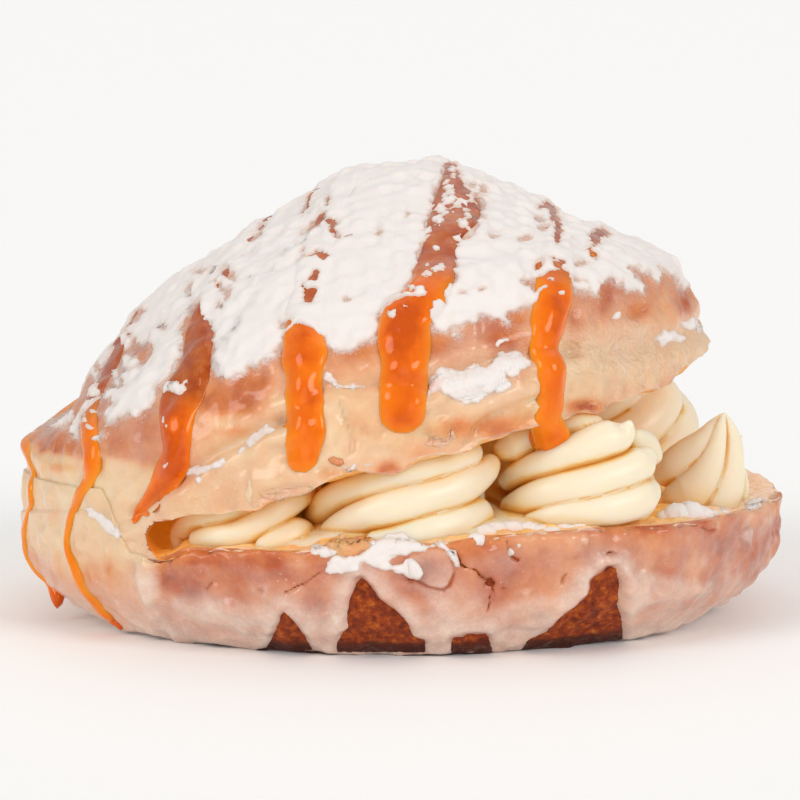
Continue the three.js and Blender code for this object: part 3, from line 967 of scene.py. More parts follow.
def makeDough():
    angle = roundAngles(doughShape["columns"], doughShape["frontShare"])
    # Rows lie closest together round the split and up the lid's wall.
    rows = [(0.077, 0.33, 26), (0.338, 0.76, 92), (0.775, 0.985, 12)]
    along = np.concatenate([np.linspace(*part) for part in rows])
    points = skin(angle, np.repeat(along[:, None], angle.size, 1))[0]
    dough = makePiece("dough", *closedRings(points, [0, 0, 0], skinShape["peak"]), crustMaterial)
    cutter = makePiece("cutter", *splitSpace(), crumbMaterial)
    useBoolean(dough, cutter, "DIFFERENCE")
    return dough


# Places on the front that are baked darker, milkier or wetter: x, y, reach across, reach down in
# the photograph's frame, and how much.
crustSpots = {
    "warm": [
        (255, 382, 16, 9, 0.26), (236, 408, 22, 9, 0.24), (240, 432, 26, 7, 0.16), (212, 402, 12, 12, 0.2),
        (250, 396, 30, 14, 0.1), (120, 446, 12, 10, 0.1), (104, 434, 6, 8, 0.2), (150, 430, 8, 16, 0.1),
        (436, 344, 12, 12, 0.26), (505, 338, 18, 10, 0.26), (515, 318, 14, 7, 0.3),
        (455, 428, 26, 12, 0.26), (500, 428, 24, 12, 0.28), (525, 418, 14, 14, 0.2),
        (388, 470, 12, 9, 0.36), (415, 452, 26, 12, 0.14), (276, 496, 9, 6, 0.3), (330, 474, 14, 7, 0.16),
        (637, 311, 10, 9, 0.08), (604, 300, 8, 16, 0.14), (684, 304, 8, 12, 0.14), (584, 406, 20, 7, 0.3),
        (360, 352, 16, 7, 0.16), (575, 318, 8, 14, 0.12), (55, 447, 6, 9, 0.16), (70, 450, 6, 9, 0.2),
        (42, 450, 6, 10, 0.14), (60, 468, 18, 5, 0.2), (28, 448, 8, 16, 0.2), (400, 430, 60, 14, 0.05),
        (170, 580, 16, 9, 0.16), (190, 600, 16, 12, 0.1), (243, 580, 9, 11, 0.1), (400, 590, 12, 14, 0.1),
        (700, 524, 9, 8, 0.2), (560, 560, 46, 18, 0.06), (190, 556, 20, 6, 0.16), (355, 420, 18, 20, 0.08),
        (424, 572, 18, 12, 0.14), (225, 560, 60, 8, 0.06), (480, 550, 16, 8, 0.1), (590, 528, 40, 7, 0.12),
        (655, 524, 16, 7, 0.16), (113, 570, 7, 14, 0.14),
    ],
    "pale": [
        (300, 560, 18, 7, 0.2), (215, 610, 24, 14, 0.2), (450, 610, 26, 20, 0.15), (640, 575, 22, 20, 0.15),
        (150, 590, 16, 24, 0.4), (345, 600, 26, 24, 0.2), (700, 560, 30, 20, 0.1), (540, 600, 34, 14, 0.12),
        (615, 350, 40, 22, 0.12), (637, 311, 12, 10, -0.2),
    ],
    "wet": [
        (590, 350, 60, 40, 0.9), (650, 360, 50, 30, 0.5), (160, 560, 26, 34, 0.6), (445, 350, 30, 16, 0.6),
        (505, 345, 26, 12, 0.7), (585, 406, 22, 8, 0.8), (470, 435, 50, 16, 0.4), (200, 490, 60, 24, 0.3),
    ],
}


def spotsAt(at, spots):
    total = 0
    for x, y, reachX, reachY, strength in crustSpots[spots]:
        total = total + strength * bell(at[..., 0], x, reachX) * bell(at[..., 1], y, reachY)
    return total


# What the crust and its glaze look like at each place.
def crustTone(points, outward):
    at = seenAt(points)
    x, z = points[..., 0], points[..., 2]
    inSugar, front = sugarReach(points, outward, 70)
    below = np.maximum(-inSugar, 0)
    lidLine = lidHeight(x)
    warm, pale = front * spotsAt(at, "warm"), front * spotsAt(at, "pale")
    wave = fractal(points, 12, 51, 3)
    nearSugar = np.exp(-((below / 5.5) ** 1.6))
    lidBake = 0.15 + 0.34 * nearSugar + 0.06 * wave
    tornEdge = bell(z - lidLine, 0, 1.8) * smoothStep(x, -26, -12)
    lidBake = lidBake + 0.2 * tornEdge * (0.6 + 0.4 * noise(points, 3, 54))
    cheek = smoothStep(-x, -doughShape["hingeX"] - 5, -doughShape["hingeX"] + 3)
    lower = smoothStep(lidLine - z, 0.0, 2.0)
    cheekBake = 0.13 + 0.34 * smoothStep(-z - 2.5 * wave, -15, -6)
    cheekBake = cheekBake + 0.4 * smoothStep(z + 1.2 * wave, 28.5, 30.5)
    baseBake = 0.56 + 0.05 * wave + 0.4 * smoothStep(-z - 0.4 * wave, -4.2, -2.2)
    bake = lidBake * (1 - lower) + baseBake * lower
    bake = bake * (1 - cheek) + cheekBake * cheek
    bake = bake + warm - 0.25 * pale
    bake = bake + (np.minimum(bake, 0.5) - bake) * (1 - lower)  # the lid never browns as deep
    film = 0.33 - 0.12 * nearSugar + 0.12 * noise(points, 10, 56)
    film = film + pale - 1.5 * warm + 0.14 * cheek * smoothStep(-z, -14, -5)
    dust = 0.5 * np.exp(-below / 0.8) + 0.1 * smoothStep(-below, -7, -0.5) * front
    wet = 0.2 + front * spotsAt(at, "wet")
    return {"bake": bake, "film": film, "dust": dust, "wet": wet, "bare": 0 * z}


# The dough with its split, coloured: the skin, the bare foot and the faces of the split.
def makeDoughPiece():
    dough = makeDough()
    points, normals = cornersOf(dough)
    tone = crustTone(points, normals)
    onCut = np.zeros(len(points), bool)
    for polygon in dough.data.polygons:
        if polygon.material_index == 1:
            onCut[list(polygon.vertices)] = True
    # The faces of the split: an orange rind at the torn edge, a painted orange glow near the hinge for
    # light shining through the thin dough, frosted near the rim and at the far end.
    x, y, z = points.T
    fromRim, fromLid = inFromRim(x, y)
    inward = np.maximum(np.where(z < 24, fromRim, fromLid), 0)
    # The first term is the real rind at the edge; the second is the painted glow near the hinge.
    torn = (0.3 + 0.4 * noise(points, 4, 59)) * np.exp(-inward / 1.4) + 0.7 * smoothStep(-x, 34, 40)
    tone["bake"] = np.where(onCut, torn, tone["bake"])
    frosted = 0.8 * smoothStep(x + 4 * noise(points, 5, 60), 43, 52) * (z < 24)
    nearSkin = np.where(z < 24, 0.6, 0.5) * np.exp(-inward / 1.8)
    frosted = np.maximum(frosted, nearSkin * smoothStep(x, -37, -30))
    tone["film"] = np.where(onCut, frosted, tone["film"])
    tone["dust"] = np.where(onCut, 0, tone["dust"])
    # Under the glaze the lower half is bare crust, charred at the foot.
    lowHalf = (z < rimHeight(x) - 0.8) & (x > doughShape["hingeX"] - 2) & ~onCut
    tone["bare"] = lowHalf * 1.0
    tone["film"] = np.where(lowHalf, 0, tone["film"])
    footBake = 0.5 + 0.42 * smoothStep(-z - 0.4 * noise(points, 4, 58), -3.6, -1.6)
    tone["bake"] = np.where(lowHalf, footBake, tone["bake"])
    setAttributes(dough, tone)
    dough.data.shade_smooth()
    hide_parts("bun")
    placeOn(dough)
    return surfaceOf(dough)


doughSurface = makeDoughPiece()


glazeShape = {
    "columns": 1080,
    "frontShare": 0.64,
    "rows": 84,
    "crackDepth": 0.55,
    "under": 1.6,
    # Lower edge behind, by direction round the roll in degrees: height in mm.
    "edgeBehind": [
        (-180, -0.5), (-20, 0.3), (-12, 1.6), (0, 0.8), (10, 3.5), (16, 0.6), (27, 2.2), (34, 6.5), (41, 1),
        (52, 0.8), (63, 2.4), (70, 0.6), (80, 4), (88, 9), (95, 2), (106, 0.6), (117, 2.6), (126, 1),
        (138, 5.5), (147, 1), (160, 0.6), (180, -0.5),
    ],
    # Where the glaze left the dough bare.
    "openings": [
        [(266, 650), (272, 638), (276, 630), (279, 622), (280, 616), (284, 611), (289, 616), (295, 622),
          (300, 629), (305, 636), (312, 650)],
        [(337, 644), (343, 632), (348, 628), (347, 618), (348, 608), (350, 598), (354, 588), (358, 581),
          (362, 577), (367, 581), (371, 586), (375, 592), (380, 599), (388, 605), (396, 611), (403, 617),
          (408, 623), (410, 630), (414, 637), (425, 640), (425, 652), (337, 652)],
        [(451, 652), (452, 638), (458, 637), (463, 637), (466, 634), (475, 634), (484, 633), (488, 637),
          (492, 652)],
        [(546, 632), (552, 626), (558, 620), (565, 613), (571, 609), (577, 605), (583, 599), (588, 594),
          (590, 588), (590, 581), (594, 577), (600, 573), (606, 568), (611, 566), (616, 569), (618, 577),
          (619, 588), (618, 597), (617, 606), (620, 613), (622, 622), (622, 645), (520, 652), (528, 640)],
    ],
    # Where the glaze ran thick: outline, height, and how far in it takes to rise.
    "bulges": [
        ([(138, 558), (150, 554), (160, 562), (164, 580), (164, 596), (158, 606), (148, 609), (142, 603),
          (137, 590), (133, 575)], 1.0, 1.6),
        ([(165, 588), (200, 592), (240, 597), (262, 602), (273, 613), (266, 628), (250, 633), (232, 633),
          (215, 631), (200, 627), (185, 618), (170, 606)], 0.7, 2.2),
        ([(288, 602), (330, 602), (345, 615), (343, 630), (333, 644), (318, 644), (305, 633), (296, 618)],
          0.5, 2.0),
        ([(372, 575), (420, 600), (430, 640), (445, 647), (470, 632), (490, 622), (488, 592), (460, 577),
          (420, 578)], 0.4, 2.4),
        ([(622, 570), (640, 566), (690, 575), (715, 580), (700, 598), (665, 605), (645, 607), (632, 613),
          (625, 619), (621, 605)], 0.8, 1.8),
        ([(500, 600), (540, 590), (572, 592), (563, 609), (545, 614), (520, 619), (500, 625), (490, 612)],
          0.5, 1.6),
        ([(410, 556), (418, 553), (428, 549), (437, 548), (445, 551), (450, 558), (453, 568), (452, 576),
          (448, 584), (440, 588), (430, 586), (420, 581), (412, 579)], 0.45, 0.35),
        (spot(525, 592, 6, 6), 0.5, 0.7), (spot(262, 590, 10, 9), 0.35, 0.8),
        (spot(262, 589, 5, 4), -0.45, 0.5), (spot(655, 590, 7, 5), 0.3, 0.5),
        (spot(583, 541, 4, 5), 0.5, 0.4),
        ([(601, 558), (604, 552), (612, 551), (617, 553), (618, 559), (615, 565), (608, 566), (603, 563)],
          0.7, 0.5),
        (spot(610, 553, 6, 2), -1.3, 0.3), (spot(624, 552, 4, 4), 0.3, 0.3),
        ([(736, 536), (740, 530), (748, 525), (750, 531), (749, 538), (748, 547), (744, 542), (740, 540)],
          0.45, 0.3),
        ([(711, 527), (715, 520), (718, 522), (717, 528), (714, 532)], 0.4, 0.3),
        (spot(698, 588, 8, 6), 0.4, 1.0), (spot(215, 600, 20, 12), 0.25, 2.5),
        (spot(640, 590, 10, 18), 0.3, 2.5), (spot(200, 566, 12, 5), 0.25, 1.2),
        (spot(300, 565, 14, 6), 0.2, 1.2),
    ],
    # Cracks through the glaze: line and half width in mm.
    "cracks": [
        ([(410, 579), (415, 579), (420, 582), (428, 586), (436, 587), (443, 589), (449, 585), (451, 579),
          (454, 573)], 0.2),
        ([(460, 564), (467, 568), (473, 569), (477, 571), (480, 576), (486, 580), (491, 583), (493, 591)],
          0.24),
        ([(489, 594), (490, 601), (487, 610)], 0.14),
        ([(450, 549), (456, 553), (460, 560), (460, 565)], 0.18),
        ([(285, 592), (292, 589), (300, 585), (307, 582), (313, 577), (322, 571)], 0.12),
        ([(507, 541), (508, 549), (510, 556), (518, 560)], 0.16),
        ([(561, 583), (562, 577), (566, 572)], 0.1),
        ([(493, 586), (505, 588), (512, 592)], 0.08),
        ([(208, 588), (213, 581)], 0.1), (spot(490, 582, 4, 2.5), 0.4), (spot(412, 579, 3, 1.5), 0.35),
        ([(700, 527), (708, 530), (713, 529)], 0.2),
    ],
}


def makeBaseGlaze():
    angle = roundAngles(glazeShape["columns"], glazeShape["frontShare"])
    rows = glazeShape["rows"]
    table = np.linspace(0.3, 0.5, 60)
    heights = throughStops(loftStops(angle), np.repeat(table[:, None], angle.size, 1))[..., 2]
    rimX = 64.8 * np.cos(angle)
    last = [np.interp(rimHeight(x) - 0.2, heights[:, c], table) for c, x in enumerate(rimX)]
    last = np.array(last)
    last = last + (0.5 - last) * smoothStep(-rimX, 42, 46)
    along = 0.09 + (last - 0.09)[None, :] * np.linspace(0, 1, rows)[:, None]
    points, outward = skin(angle, along)
    x, z = points[..., 0], points[..., 2]
    at, front = seenAt(points), facing(points, outward)
    edge = np.interp(degreesRound(points), *zip(*glazeShape["edgeBehind"]))
    behind = z - edge - 0.35 * noise(points, 3, 71) - 0.2 * noise(points, 1.2, 72)
    covered = -insideAny(at, glazeShape["openings"], 40)
    drawn = np.minimum(covered, z - 0.3 - 0.5 * noise(points, 4, 70))
    inside = drawn * front + behind * (1 - front) + 0.1 * noise(points, 0.8, 69)
    body = 0.42 + 0.14 * noise(points, 9, 73)
    body = body + 0.12 * noise(points, 3.2, 74) + 0.05 * noise(points, 1.1, 76)
    thick = body + 0.7 * bell(inside, 1.2, 1.2)
    for outline, height, rise in glazeShape["bulges"]:
        thick = thick + front * height * smoothStep(insideOutline(at, outline, 24), -0.15, rise)
    body = thick + 0.5 * bell(inside, 1.2, 1.6) + 0.75 * smoothStep(-z, -12, -3)
    thick = thick * (0.3 + 0.7 * smoothStep(z, 1.5, 8))
    thick = np.where(inside > 0, thick * np.sqrt(np.clip(inside / 0.8, 0, 1)), np.maximum(inside * 2, -0.5))
    cracked = 0 * z
    for line, width in glazeShape["cracks"]:
        away, _ = nearLine(at, line, 14)
        gap = away * pixelSize + 0.12 * noise(points, 1.1, 77)
        cracked = np.maximum(cracked, front * bell(np.maximum(gap, 0), 0, width))
    thick = thick - glazeShape["crackDepth"] * cracked
    # Past the hinge the glaze's upper edge climbs on up the cheek.
    hinge = doughShape["hingeX"]
    rim = np.where(x > hinge, rimHeight(x) - 0.5, 17 + (hinge - x) * 1.5)
    chipped = np.minimum(rim, 29.5) - z - 0.5 * fractal(points, 3.5, 75, 3)
    thick = np.where(chipped > 0, thick * np.sqrt(np.clip(chipped / 0.7, 0, 1)), -0.5)
    surface = points + outward * thick[..., None]
    surface[..., 2] = np.maximum(surface[..., 2], 0.04)
    keep = [0, rows // 3, 2 * rows // 3, -1]
    under = points[keep] - outward[keep] * glazeShape["under"]
    glaze = makePiece("baseGlaze", *closedShell(surface, under), crustMaterial)
    tone = crustTone(points, outward)
    opacity = 0.92 * (1 - np.exp(-np.maximum(body - 0.2, 0) / 0.9))
    cheek = smoothStep(-x, 38, 46) * smoothStep(z, 8, 14)
    milky = 0.07 + opacity + 0.5 * (tone["film"] - 0.4)
    tone["film"] = milky * (1 - cheek) + tone["film"] * cheek
    rimWarm = smoothStep(z - rimHeight(x), -4.5, -0.5) * (1 - cheek)
    tone["bake"] = np.minimum(tone["bake"], 0.64) - 0.1 * rimWarm
    tone["film"] = tone["film"] - 0.18 * rimWarm * (1 - smoothStep(x, 40, 56))
    tone["film"] = tone["film"] * (1 - cracked)
    tone["bake"] = tone["bake"] + (0.54 - tone["bake"]) * cracked
    hidden = np.zeros(len(keep) * angle.size)
    setAttributes(glaze, {name: np.append(values.ravel(), hidden) for name, values in tone.items()})
    placeOn(glaze)
    return glaze


glazeSurface = surfaceOf(makeBaseGlaze())


creamShape = {
    "bottom": 18.8,
    "tipLean": 6,
    "bandSections": 44,
    "lobes": 5,
    # Swirls: middle x and y, reach, height, turns of the nozzle's lobes over the height, where the
    # first lobe starts, and whether the swirl ends in a point.
    "swirls": [
        (-23.5, -42.5, 10, 9, 0.5, 0.2, False), (0, -43, 14, 13.5, 0.48, 0.45, False),
        (28.4, -37.5, 13, 16, 0.48, 0.1, False), (50.5, -17, 7.5, 12, 0.4, 0.2, True),
        (39.5, 20, 14, 19, 0.4, 0.6, False), (15, 40, 14, 19, 0.5, 0.3, False),
        (-13, 41, 14, 13, 0.5, 0.8, False), (-31, 18, 10, 8, 0.5, 0.5, False),
        (16, -8, 15, 19, 0.5, 0.9, False), (10, 17, 15, 19, 0.5, 0.4, False),
        (-14, 2, 15, 13, 0.5, 0.7, False),
    ],
    # The swirls' bands in front: middle and reach of the mound each winds round, how far behind the
    # mound's face it lies, then places in the photograph's frame with the half width in pixels.
    "bands": [
        ((-23.5, -45.5, 11), 2.5, [(180, 548, 7), (181, 534, 10), (195, 521, 11), (225, 514, 13),
          (256, 503, 11)]),
        ((-23.5, -45.5, 10.5), 0.8, [(196, 540, 9), (215, 537, 11), (240, 533, 13), (262, 523, 15),
          (282, 508, 13), (304, 496, 9), (312, 491, 7)]),
        ((-23.5, -46.5, 10.5), 0, [(262, 548, 9), (276, 542, 13), (293, 537, 17), (306, 536, 14)]),
        ((0, -46, 14.5), 2.6, [(311, 524, 9), (324, 508, 14), (350, 493, 15), (385, 481, 16),
          (425, 470, 17), (462, 456, 15), (474, 452, 11)]),
        ((0, -46, 14.5), 0.8, [(328, 532, 9), (345, 525, 13), (375, 513, 16), (410, 503, 17),
          (442, 494, 17), (468, 481, 16), (484, 470, 13), (492, 462, 9)]),
        ((0, -46, 14.5), 0, [(372, 541, 8), (400, 538, 13), (430, 531, 18), (460, 522, 20),
          (479, 514, 17)]),
        ((28.4, -41, 13.5), 2.4, [(506, 482, 9), (522, 472, 12), (550, 462, 14), (580, 450, 16),
          (604, 441, 17), (618, 436, 15), (626, 430, 10), (630, 423, 4)]),
        ((28.4, -41, 13.5), 0.8, [(507, 508, 9), (530, 499, 14), (560, 491, 16), (592, 483, 16),
          (622, 473, 16), (641, 462, 15), (648, 456, 10)]),
        ((28.4, -41, 13.5), 0, [(528, 521, 6), (556, 516, 12), (590, 511, 15), (620, 504, 17),
          (641, 495, 18), (650, 491, 13)]),
        ((28.4, -34, 12), 0, [(634, 438, 9), (645, 446, 13), (654, 458, 9)]),
        ((28.4, -38, 11), 0, [(563, 428, 12), (582, 428, 15), (596, 428, 12)]),
        ((20, -38, 10), 0, [(500, 452, 9), (514, 446, 16), (530, 440, 14), (545, 436, 10)]),
        ((50.5, -19, 9), 1.0, [(664, 476, 12), (676, 467, 17), (692, 453, 16), (706, 438, 11),
          (716, 424, 7), (722, 414, 2)]),
        ((50.5, -19, 9), 0, [(676, 500, 16), (692, 490, 20), (707, 470, 15), (715, 450, 10), (720, 430, 6),
          (723, 415, 2)]),
        ((50.5, -19, 9), 0.8, [(716, 508, 17), (724, 488, 18), (729, 464, 14), (730, 442, 11),
          (727, 425, 6), (724, 414, 2)]),
        ((50.5, -14, 9), 0.0, [(738, 503, 9), (741, 486, 7), (740, 470, 5)]),
    ],
    # How far the cream under the swirls reaches from the middle, by direction in degrees.
    "bedReach": [
        (-180, 34), (-140, 44), (-131, 55), (-122, 60), (-90, 60.4), (-60, 59.2), (-50, 56), (-38, 46),
        (-20, 44), (0, 46), (60, 47), (120, 46), (160, 38), (180, 34),
    ],
    # Rings of that cream from its edge in: share of the reach, height above the rim.
    "bedRings": [(0.91, -4), (0.97, -2.5), (0.98, -0.4), (0.97, 0.4), (0.94, 1.0), (0.86, 1.8), (0.5, 4.0)],
}


# How far out from its creases a swirl stands at each place, 0 in the crease and 1 on the ridge.
def ridge(angle, up, turns, start):
    phase = np.mod(creamShape["lobes"] * (angle / (2 * math.pi) - turns * up) + start, 1)
    return np.sin(math.pi * phase**0.8) ** 0.6


def swirlBody(swirl):
    middleX, middleY, radius, height, turns, start, pointed = swirl
    rows, columns = 36, 80
    up = np.linspace(0, 0.985, rows)[:, None]
    angle = (2 * math.pi * np.arange(columns) / columns)[None, :]
    if pointed:
        swell = 1 - 0.93 * up**1.25
        deep = 0.3
    else:
        swell = np.sqrt(1 - 0.8 * up**3)
        deep = 0.2
    swell = swell * (0.95 + 0.05 * smoothStep(up, 0, 0.15))
    reach = radius * swell * (1 - deep * (1 - ridge(angle, up, turns, start)))
    lean = creamShape["tipLean"] * up**2 if pointed else 0 * up
    x = middleX + lean + reach * np.cos(angle)
    y = middleY + reach * np.sin(angle)
    z = creamShape["bottom"] + height * up + 0 * angle
    points = np.stack([x, y, z], -1)
    points = points + 0.22 * np.stack([noise(points, 7, 91 + k) for k in range(3)], -1)
    foot = [middleX, middleY, creamShape["bottom"] - 0.4]
    tip = [middleX + lean[-1, 0], middleY, creamShape["bottom"] + height]
    return closedRings(points, foot, tip)


def creamBed():
    angle = 2 * math.pi * np.arange(240) / 240
    reach = np.interp((np.degrees(angle) + 180) % 360 - 180, *zip(*creamShape["bedReach"]))
    reach = np.convolve(np.pad(reach, 4, mode="wrap"), np.ones(9) / 9, mode="valid")
    rings = []
    for share, above in creamShape["bedRings"]:
        x, y = reach * share * np.cos(angle), reach * share * np.sin(angle)
        rings.append(np.stack([x, y, rimHeight(x) + above], -1))
    return closedRings(np.array(rings), [0, 0, 15.5], [0, 0, 23.8])


# A band of piped cream: a soft rope whose face follows its mound.
def creamBand(band, seed):
    (middleX, middleY, reach), back, line = band
    stops = []
    for px, py, half in line:
        y = middleY - reach
        ray = rayTo(px, py)
        for _ in range(4):
            place = eye + ray * (y - eye[1]) / ray[1]
            side = min(abs(place[0] - middleX), 0.97 * reach)
            y = middleY - math.sqrt(reach**2 - side**2) + back + half * 0.8 * pixelSize
        stops.append((*(eye + ray * (y - eye[1]) / ray[1]), 1.16 * half * pixelSize))
    stops = np.array(stops)
    # Each end rounds off past its last drawn place.
    for end, other in ((0, 1), (-1, -2)):
        away = unit(stops[end, :3] - stops[other, :3]) * 0.7 * stops[end, 3]
        past = np.append(stops[end, :3] + away, 0.9 * stops[end, 3])[None]
        stops = np.concatenate([past, stops] if end == 0 else [stops, past])
    stops = stops[:, None, :]
    fine = throughStops(stops, np.linspace(0, 1, 400)[:, None])[:, 0]
    gone = distanceAlong(fine)
    # Stations lie closer together in the rounded ends.
    count = max(int(gone[-1] / 0.5), 12)
    t = np.linspace(0, 1, count)
    t = t - 0.06 * np.sin(2 * math.pi * t)
    even = np.stack([np.interp(t * gone[-1], gone, fine[:, k]) for k in range(4)], 1)
    along = unit(np.gradient(even[:, :3], axis=0))
    across = unit(np.cross(along, -lookAlong))
    outward = np.cross(across, along)
    left = np.minimum(t, 1 - t) * gone[-1]
    fromTip = np.clip(left / (0.9 * even[:, 3]), 0, 1)
    size = even[:, 3] * np.sqrt(np.clip(1 - (1 - fromTip) ** 2, 0.01, 1))
    turn = -2 * math.pi * np.arange(creamShape["bandSections"]) / creamShape["bandSections"]
    ring = across[:, None] * np.cos(turn)[:, None] + 0.85 * outward[:, None] * np.sin(turn)[:, None]
    rows = even[:, None, :3] + size[:, None, None] * ring
    rows = rows + 0.12 * np.stack([noise(rows, 5, seed + k) for k in range(3)], -1)
    return closedRings(rows, rows[0].mean(0), rows[-1].mean(0))


# How enclosed each place is, from 0 in the open to 1 in a deep crease. The cream uses it to paint shade and
# glow into its creases.
def creasesOf(points, normals, surfaces, reach):
    turn = 2 * math.pi * np.arange(9) / 9
    side = unit(np.cross(normals, [0.3, 0.5, 0.81]))
    other = np.cross(normals, side)
    starts = (points + normals * 0.05) * millimetre
    closed = np.zeros(len(points))
    for a in turn:
        ways = unit(normals * 0.75 + side * math.cos(a) + other * math.sin(a))
        for i, (start, way) in enumerate(zip(starts, ways)):
            found = [surface.ray_cast(start, way, reach * millimetre)[3] for surface in surfaces]
            nearest = min((away for away in found if away is not None), default=reach * millimetre)
            closed[i] += 1 - nearest / (reach * millimetre)
    return closed / len(turn)


def makeCreamPiece():
    cream = makePiece("creamSwirls", *creamBed(), creamMaterial)
    for swirl in creamShape["swirls"]:
        useBoolean(cream, makePiece("swirl", *swirlBody(swirl), creamMaterial), "UNION")
    for number, band in enumerate(creamShape["bands"]):
        rope = makePiece("band", *creamBand(band, 200 + 3 * number), creamMaterial)
        useBoolean(cream, rope, "UNION")
    cream.data.validate()
    surface = surfaceOf(cream)
    points, normals = cornersOf(cream)
    # Enclosure becomes painted shade and yellow glow in the creases and where the swirls meet the dough.
    narrow = creasesOf(points, normals, [surface], 3.5)
    wide = creasesOf(points, normals, [surface, doughSurface], 11)
    setAttributes(cream, {"crease": 0.95 * narrow + 0.7 * wide})
    cream.data.shade_smooth()
    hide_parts("cream")
    placeOn(cream)
    return surface


creamSurface = makeCreamPiece()


caramelShape = {
    "step": 0.7,
    "sections": 22,
    # Height above which each line is only a thin film.
    "filmAbove": {"left": 35, "leftMiddle": 38, "middle": 52, "front": 58, "right": 58},
    # Guide points of each line from its back end to its front end. Behind and where the end hangs
    # free they are x, y, z and half width; in front they are x, y and half width, drawn in the
    # photograph's frame.
    "lines": {
        "farLeft": {
            "behind": [
                (-55, 26, 33, 0.9), (-61, 8, 29, 1.0), (-62, -13.8, 28, 1.4), (-61.2, -20.3, 25.1, 1.1),
                (-60.2, -24, 21.5, 0.7), (-60.8, -21.5, 18.6, 0.8), (-61.4, -18.8, 14.7, 1.1),
                (-61.3, -17.4, 10, 0.9), (-60, -19, 7, 1.0),
            ],
            "seen": [],
            "hanging": [(-58, -20.5, 5.2, 1.2), (-56.6, -22, 3.8, 1.1), (-56, -22.3, 2.4, 0.95)],
        },
        "left": {
            "behind": [(-36, 46, 31, 1.8), (-39, 28, 45, 2.0), (-43, 2, 50, 2.2)],
            "seen": [
                (120, 346, 2.4), (102, 382, 2.4), (89, 415, 2.0), (91, 440, 2.0), (93, 459, 1.9),
                (93, 472, 2.2), (86, 487, 1.4), (78, 502, 1.0), (74, 515, 0.85), (70, 530, 0.75),
                (69, 545, 0.8), (74, 560, 0.9), (81, 577, 1.2), (90, 593, 1.3), (100, 606, 1.4),
                (109, 614, 1.4),
            ],
            "hanging": [(-46.8, -33, 3.2, 1.4), (-44.8, -35, 2.2, 1.1), (-44.5, -35.2, 0.9, 1.0)],
        },
        "leftMiddle": {
            "deep": 0.35,
            "behind": [(-8, 57, 35, 2.4), (-12, 40, 52, 2.6), (-19, 8, 66, 2.4)],
            "seen": [
                (246, 238, 2.2), (236, 255, 2.2), (214, 285, 2.0), (200, 308, 1.8), (198, 330, 2.7),
                (196, 355, 3.0), (190, 380, 3.9), (181, 400, 3.9), (177, 420, 3.5), (176, 440, 3.1),
                (175, 458, 2.9), (168, 474, 2.5), (158, 488, 1.7), (148, 502, 1.2), (140, 515, 0.9),
                (134, 527, 0.7),
            ],
        },
        "thread": {
            "behind": [(-5, 40, 61, 0.9), (-9, 20, 69, 1.0), (-13, -6, 71, 1.1)],
            "seen": [(313, 196, 1.0), (307, 214, 0.8)],
        },
        "middle": {
            "behind": [(9, 58, 43, 2.4), (5, 40, 60, 2.6), (-2, 10, 73, 2.6)],
            "seen": [
                (330, 214, 2.4), (320, 240, 2.6), (314, 272, 2.6), (308, 300, 2.7), (303, 330, 3.2),
                (304, 345, 3.5), (305, 362, 3.6), (303, 380, 3.0), (304, 400, 2.85), (305, 420, 2.9),
                (304, 440, 3.0), (302, 460, 2.6), (300, 476, 2.2),
            ],
        },
        "front": {
            "behind": [(18, 57, 40, 2.6), (15, 40, 60, 3.0), (10, 5, 75, 1.8)],
            "seen": [
                (452, 174, 1.4), (456, 189, 2.9), (458, 205, 3.9), (453, 220, 3.9), (442, 240, 2.8),
                (437, 260, 3.0), (432, 280, 3.3), (423, 299, 3.6), (406, 316, 4.1), (404, 336, 4.2),
                (405, 360, 3.9), (404, 380, 3.9), (403, 400, 3.9), (402, 420, 3.6), (402, 437, 3.0),
            ],
        },
        "right": {
            "behind": [(26, 50, 47, 2.4), (25.5, 34, 61, 2.6), (25, 0, 69.5, 2.2)],
            "seen": [
                (558, 240, 2.2), (555, 268, 3.0), (553, 285, 3.4), (552, 302, 3.1), (549, 320, 3.0),
                (545, 340, 2.8), (548, 360, 2.8), (554, 380, 2.6), (551, 398, 2.4), (547, 412, 2.3),
                (547, 424, 2.5), (551, 434, 3.2), (544, 445, 2.6), (534, 453, 1.2),
            ],
        },
        "farRight": {
            "behind": [(37, 41, 51, 1.2), (36, 22, 63, 1.5), (34, -8, 65.5, 1.5)],
            "seen": [(600, 229, 1.6), (596, 240, 1.5), (591, 258, 1.0)],
        },
    },
}


